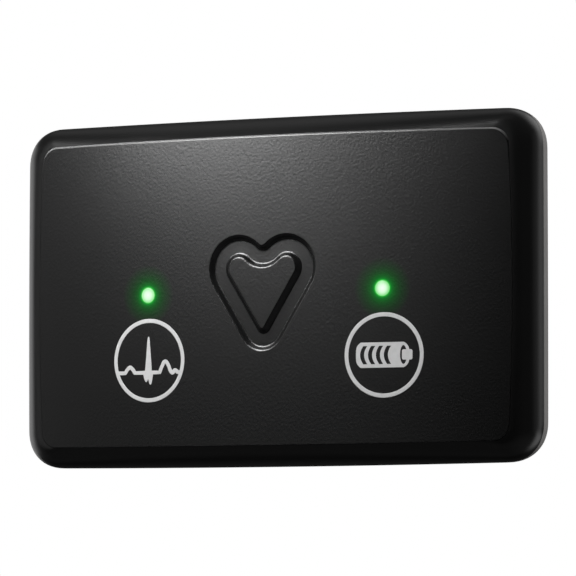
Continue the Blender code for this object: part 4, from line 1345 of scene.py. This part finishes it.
# Battery bay: a flat lithium pack in blue shrink film lies beside a memory card in its steel holder, and
# three gold-plated blades in a nylon block touch the pack's end. A silicone seal runs round the mouth.
def softened(node, name, radius):
    """A welded copy of a solid with its edges rounded, to stand for it."""
    made = new_object(name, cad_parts[node].data.copy())
    made.data.name = name
    only(made)
    bpy.ops.object.mode_set(mode="EDIT")
    bpy.ops.mesh.select_all(action="SELECT")
    bpy.ops.mesh.remove_doubles(threshold=tolerance)
    bpy.ops.mesh.dissolve_limited(angle_limit=math.radians(1))
    bpy.ops.object.mode_set(mode="OBJECT")
    use_modifier(
        made, "BEVEL", width=radius, segments=3, limit_method="ANGLE", angle_limit=math.radians(40)
    )
    shade(made, sharp_degrees=40)
    return made


def shrink_film():
    """Heat-shrunk polyester film: blue and glossy, with the soft ripples that shrinking leaves."""
    made, tree, shader, spot = new_material("blue_shrink_film", "#2b4f86", 0.3, ior=1.57)
    pulled = add(tree, "ShaderNodeMapping", {"Vector": spot, "Scale": (120.0, 900.0, 700.0)})
    ripple = add(tree, "ShaderNodeTexNoise", {"Vector": pulled, "Scale": 1.0})
    tones = ((0.3, "#284a80"), (0.7, "#315690"))
    tone = add(tree, "ShaderNodeValToRGB", {"Fac": ripple}, tones)
    bump = add(tree, "ShaderNodeBump", {"Height": ripple, "Strength": 0.3, "Distance": 0.00005})
    feed(shader, {"Base Color": tone, "Normal": bump})
    return made


def rolled_stainless_steel():
    """Stainless sheet, stamped and folded: grey and bright, with the straight lines of rolling.

    The lines lie about 0.1 mm apart, farther than the real ones, which wouldn't show.
    """
    made, tree, shader, spot = new_material("rolled_stainless_steel", "#bebec0", 0.3, metallic=1.0)
    rolled = add(tree, "ShaderNodeMapping", {"Vector": spot, "Scale": (300.0, 300.0, 9000.0)})
    lines = add(tree, "ShaderNodeTexNoise", {"Vector": rolled, "Scale": 1.0})
    rough = add(tree, "ShaderNodeMapRange", {"Value": lines, "To Min": 0.22, "To Max": 0.4})
    bump = add(tree, "ShaderNodeBump", {"Height": lines, "Strength": 0.1, "Distance": 0.00001})
    feed(shader, {"Roughness": rough, "Normal": bump})
    return made


def moulded_epoxy():
    """Epoxy moulding compound, as on chips and cards: near black and matte, with a speckle of filler.

    The speckle is drawn 0.15 mm wide, coarser than the real one, which wouldn't show.
    """
    made, tree, shader, spot = new_material("moulded_epoxy", "#1d1d1e", 0.55, ior=1.55)
    speckle = add(tree, "ShaderNodeTexNoise", {"Vector": spot, "Scale": 7000.0, "Detail": 2.0})
    tones = ((0.35, "#1a1a1b"), (0.7, "#252526"))
    tone = add(tree, "ShaderNodeValToRGB", {"Fac": speckle}, tones)
    bump = add(tree, "ShaderNodeBump", {"Height": speckle, "Strength": 0.15, "Distance": 0.00001})
    feed(shader, {"Base Color": tone, "Normal": bump})
    return made


def moulded_silicone():
    """Silicone rubber: dark grey and soft looking, with a faint dusty bloom."""
    made, tree, shader, spot = new_material("moulded_silicone", "#56575a", 0.65, ior=1.43)
    dust = add(tree, "ShaderNodeTexNoise", {"Vector": spot, "Scale": 700.0, "Detail": 4.0})
    tones = ((0.35, "#515255"), (0.7, "#5f6063"))
    tone = add(tree, "ShaderNodeValToRGB", {"Fac": dust}, tones)
    feed(shader, {"Base Color": tone, "Sheen Weight": 0.2})
    return made


film = shrink_film()
sheet_steel = rolled_stainless_steel()
epoxy = moulded_epoxy()
silicone = moulded_silicone()
for node, radius, slot, finish in (
    ("battery_pack", 0.00045, "battery_wrap", film),
    ("contact_block", 0.00015, "black_nylon", nylon),
    ("battery_blade_1", 0.00008, "gold_plate", gold),
    ("battery_blade_2", 0.00008, "gold_plate", gold),
    ("battery_blade_3", 0.00008, "gold_plate", gold),
    ("card_holder", 0.00006, "steel", sheet_steel),
    ("memory_card", 0.0001, "chip_resin", epoxy),
    ("door_seal", 0.0002, "seal_rubber", silicone),
):
    settle(softened(node, f"{node}_softened", radius), "case", [node], finish)


# Inside the case: the main board with its chips, the radio's shield and antenna, the buzzer, the clock's
# cell and crystal, the switch under the key, the lamps and the case seal. Their solids stay as they are.
def masked_laminate():
    """Glass laminate under green solder mask: glossy green over paler copper tracks 0.6 mm apart."""
    made, tree, shader, spot = new_material("green_masked_laminate", "#1c6b3a", 0.35, ior=1.55)
    turned_up = {"Vector": spot, "Rotation": (math.pi / 2, 0, 0)}
    tracks = add(
        tree,
        "ShaderNodeTexBrick",
        {
            "Vector": add(tree, "ShaderNodeMapping", turned_up),
            "Scale": 100.0,
            "Color1": linear("#175c31"),
            "Color2": linear("#1a6336"),
            "Mortar": linear("#2f8a50"),
            "Mortar Size": 0.012,
            "Brick Width": 0.5,
            "Row Height": 0.06,
        },
    )
    bump = add(
        tree, "ShaderNodeBump", {"Height": tracks.outputs["Fac"], "Strength": 0.3, "Distance": 0.00003}
    )
    feed(shader, {"Base Color": tracks.outputs["Color"], "Normal": bump})
    return made


laminate = masked_laminate()
inner_finishes = {
    "main_board": laminate,
    "processor": epoxy,
    "ecg_amplifier": epoxy,
    "motion_sensor": epoxy,
    "radio_shield": sheet_steel,
    "clock_crystal": sheet_steel,
    "clock_cell": sheet_steel,
    "switch_plunger": sheet_steel,
    "radio_antenna": ceramic,
    "lamp_chip_left": ceramic,
    "lamp_chip_right": ceramic,
    "buzzer": nylon,
    "tactile_switch": nylon,
    "case_seal": silicone,
}
for node, finish in inner_finishes.items():
    for material_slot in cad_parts[node].material_slots:
        material_slot.material = finish


# Floor: a plain pale table under the case. White is mixed into it, a third near the case and in full
# farther out. The photograph's camera looks from below its level, so its underside is clear to camera
# rays.
floor_size = 4.0
lit_reach, white_reach, least_white = 0.07, 0.26, 0.35
bpy.ops.mesh.primitive_plane_add(size=floor_size, location=(0, 0, 0))
floor = bpy.context.object
floor.name = "floor"
made, tree, shader, spot = new_material("pale_floor", "#f2f2f2", 0.8)
floor.data.materials.append(made)
camera_ray = add(tree, "ShaderNodeLightPath").outputs["Is Camera Ray"]
underside = add(tree, "ShaderNodeNewGeometry").outputs["Backfacing"]
below = add(tree, "ShaderNodeMath", {0: camera_ray, 1: underside}, operation="MULTIPLY")
away = add(tree, "ShaderNodeVectorMath", {0: spot}, operation="LENGTH")
faded = add(
    tree,
    "ShaderNodeMapRange",
    {
        "Value": away.outputs["Value"],
        "From Min": lit_reach,
        "From Max": white_reach,
        "To Min": least_white,
    },
    interpolation_type="SMOOTHSTEP",
)
white = add(tree, "ShaderNodeEmission")
table = add(tree, "ShaderNodeMixShader", {0: faded, 1: shader, 2: white})
clear = add(tree, "ShaderNodeBsdfTransparent")
mixed = add(tree, "ShaderNodeMixShader", {0: below, 1: table, 2: clear})
feed(tree.nodes["Material Output"], {"Surface": mixed})
floor.visible_glossy = False
floor.visible_diffuse = False


# World: white where the camera, or a ray through clear plastic, sees it, and white to glossy rays on the
# left, where the studio's wall stands. For the rest it is dim, but for a bright stretch low on the right
# behind the case. Each region has a strength and soft bounds on the direction's parts.
wall_bounds = (("X", -0.6, -0.8), ("Y", -0.2, 0.05), ("Z", 0.4, 0.3), ("Z", -0.4, -0.3))
dim_regions = (
    (1.3, (("X", 0.4, 0.6), ("Y", 0.1, 0.3), ("Z", -0.2, -0.3))),
    (0.13, (("X", 0.6, 0.8), ("Y", 0.1, 0.3), ("Z", 0.4, 0.3), ("Z", -0.4, -0.3))),
    (0.20, (("Z", 0.6, 0.8), ("Y", -0.1, 0.2))),
    (0.073, (("Z", -0.3, -0.5), ("Y", 0.3, 0.1))),
    (0.05, (("Z", 0.2, 0.8),)),
    (0.067, (("X", 0.0, 0.6),)),
    (0.031, (("Y", 0.0, 0.6),)),
)
world = bpy.data.worlds.new("studio")
bpy.context.scene.world = world
world.use_nodes = True
tree = world.node_tree
background = tree.nodes["Background"]
path = add(tree, "ShaderNodeLightPath")
spot = add(tree, "ShaderNodeTexCoord").outputs["Generated"]
split = add(tree, "ShaderNodeSeparateXYZ", {"Vector": spot})


def combined(operation, first, second):
    """A node with two strengths put together."""
    return add(tree, "ShaderNodeMath", {0: first, 1: second}, operation=operation)


def region(strength, bounds):
    """The strength inside soft bounds on the direction's parts, and nothing outside them."""
    for axis, outside, inside in bounds:
        limits = {"Value": split.outputs[axis], "From Min": outside, "From Max": inside}
        within = add(tree, "ShaderNodeMapRange", limits)
        strength = combined("MULTIPLY", strength, within)
    return strength


dim = 0.0
for strength, bounds in dim_regions:
    dim = combined("ADD", dim, region(strength, bounds))
strength = combined("MULTIPLY", path.outputs["Is Glossy Ray"], region(1.0, wall_bounds))
for other in (dim, path.outputs["Is Camera Ray"], path.outputs["Is Transmission Ray"]):
    strength = combined("MAXIMUM", strength, other)
feed(background, {"Color": (1, 1, 1, 1), "Strength": strength})


# Lamps: softboxes round the case, as (name, azimuth, elevation, distance, width, height, power), with
# the azimuth in degrees from straight in front towards the right. The small near ones make the sheen at
# the top of the face and the bright line along the panel's edge.
lamp_aim = Vector((0, 0, 0.03))
softboxes = (
    ("near_key", -36, 32, 0.10, 0.04, 0.04, 0.070),
    ("near_high", -24, 40, 0.12, 0.05, 0.05, 0.108),
    ("strip_high", -28, 47, 0.20, 0.07, 0.03, 0.050),
    ("near_left", -50, 30, 0.18, 0.06, 0.06, 0.017),
    ("left", -90, 0, 0.6, 0.25, 0.25, 0.12),
    ("left_front", -55, 0, 0.6, 0.25, 0.25, 0.09),
    ("high_front", 0, 70, 0.6, 0.25, 0.25, 0.03),
    ("right", 100, 5, 0.6, 0.5, 0.5, 0.12),
    ("right_behind", 120, 0, 0.6, 0.25, 0.25, 0.08),
    ("low_right_behind", 150, 20, 0.6, 0.5, 0.5, 0.22),
    ("high_right_behind", 135, 35, 0.6, 0.5, 0.5, 0.62),
    ("high_behind", 150, 50, 0.6, 0.5, 0.5, 0.35),
)


def towards(azimuth, elevation):
    """The direction of an azimuth, in degrees from straight in front to the right, and an elevation."""
    turn, rise = math.radians(azimuth), math.radians(elevation)
    return Vector(
        (math.sin(turn) * math.cos(rise), -math.cos(turn) * math.cos(rise), math.sin(rise))
    )


for name, azimuth, elevation, distance, width, height, power in softboxes:
    data = bpy.data.lights.new(f"softbox_{name}", "AREA")
    data.shape = "RECTANGLE"
    data.size, data.size_y = width, height
    data.energy = power
    softbox = new_object(f"softbox_{name}", data)
    direction = towards(azimuth, elevation)
    softbox.location = lamp_aim + direction * distance
    softbox.rotation_euler = (-direction).to_track_quat("-Z", "Y").to_euler()
    softbox.visible_camera = False


# Camera: the photograph's viewpoint, from the front right and a little below the middle of the case. It
# was fitted to the case's outline, the panel's edges and the printed rings.
camera_azimuth, camera_elevation = 27.7774, -3.4197
camera_distance = 0.8800
camera_aim = place(0.005072, 0, 0.000154)
focal_pixels, frame_pixels = 5171.39, 576
sensor_width = 36.0
nearest_seen = 0.01

camera_data = bpy.data.cameras.new("camera")
camera_data.sensor_width = sensor_width
camera_data.lens = focal_pixels / frame_pixels * sensor_width
camera_data.clip_start = nearest_seen
camera = new_object("camera", camera_data)
view_direction = towards(camera_azimuth, camera_elevation)
camera.location = camera_aim + view_direction * camera_distance
camera.rotation_euler = (-view_direction).to_track_quat("-Z", "Y").to_euler()
bpy.context.scene.camera = camera
bpy.context.scene.view_settings.view_transform = "Standard"
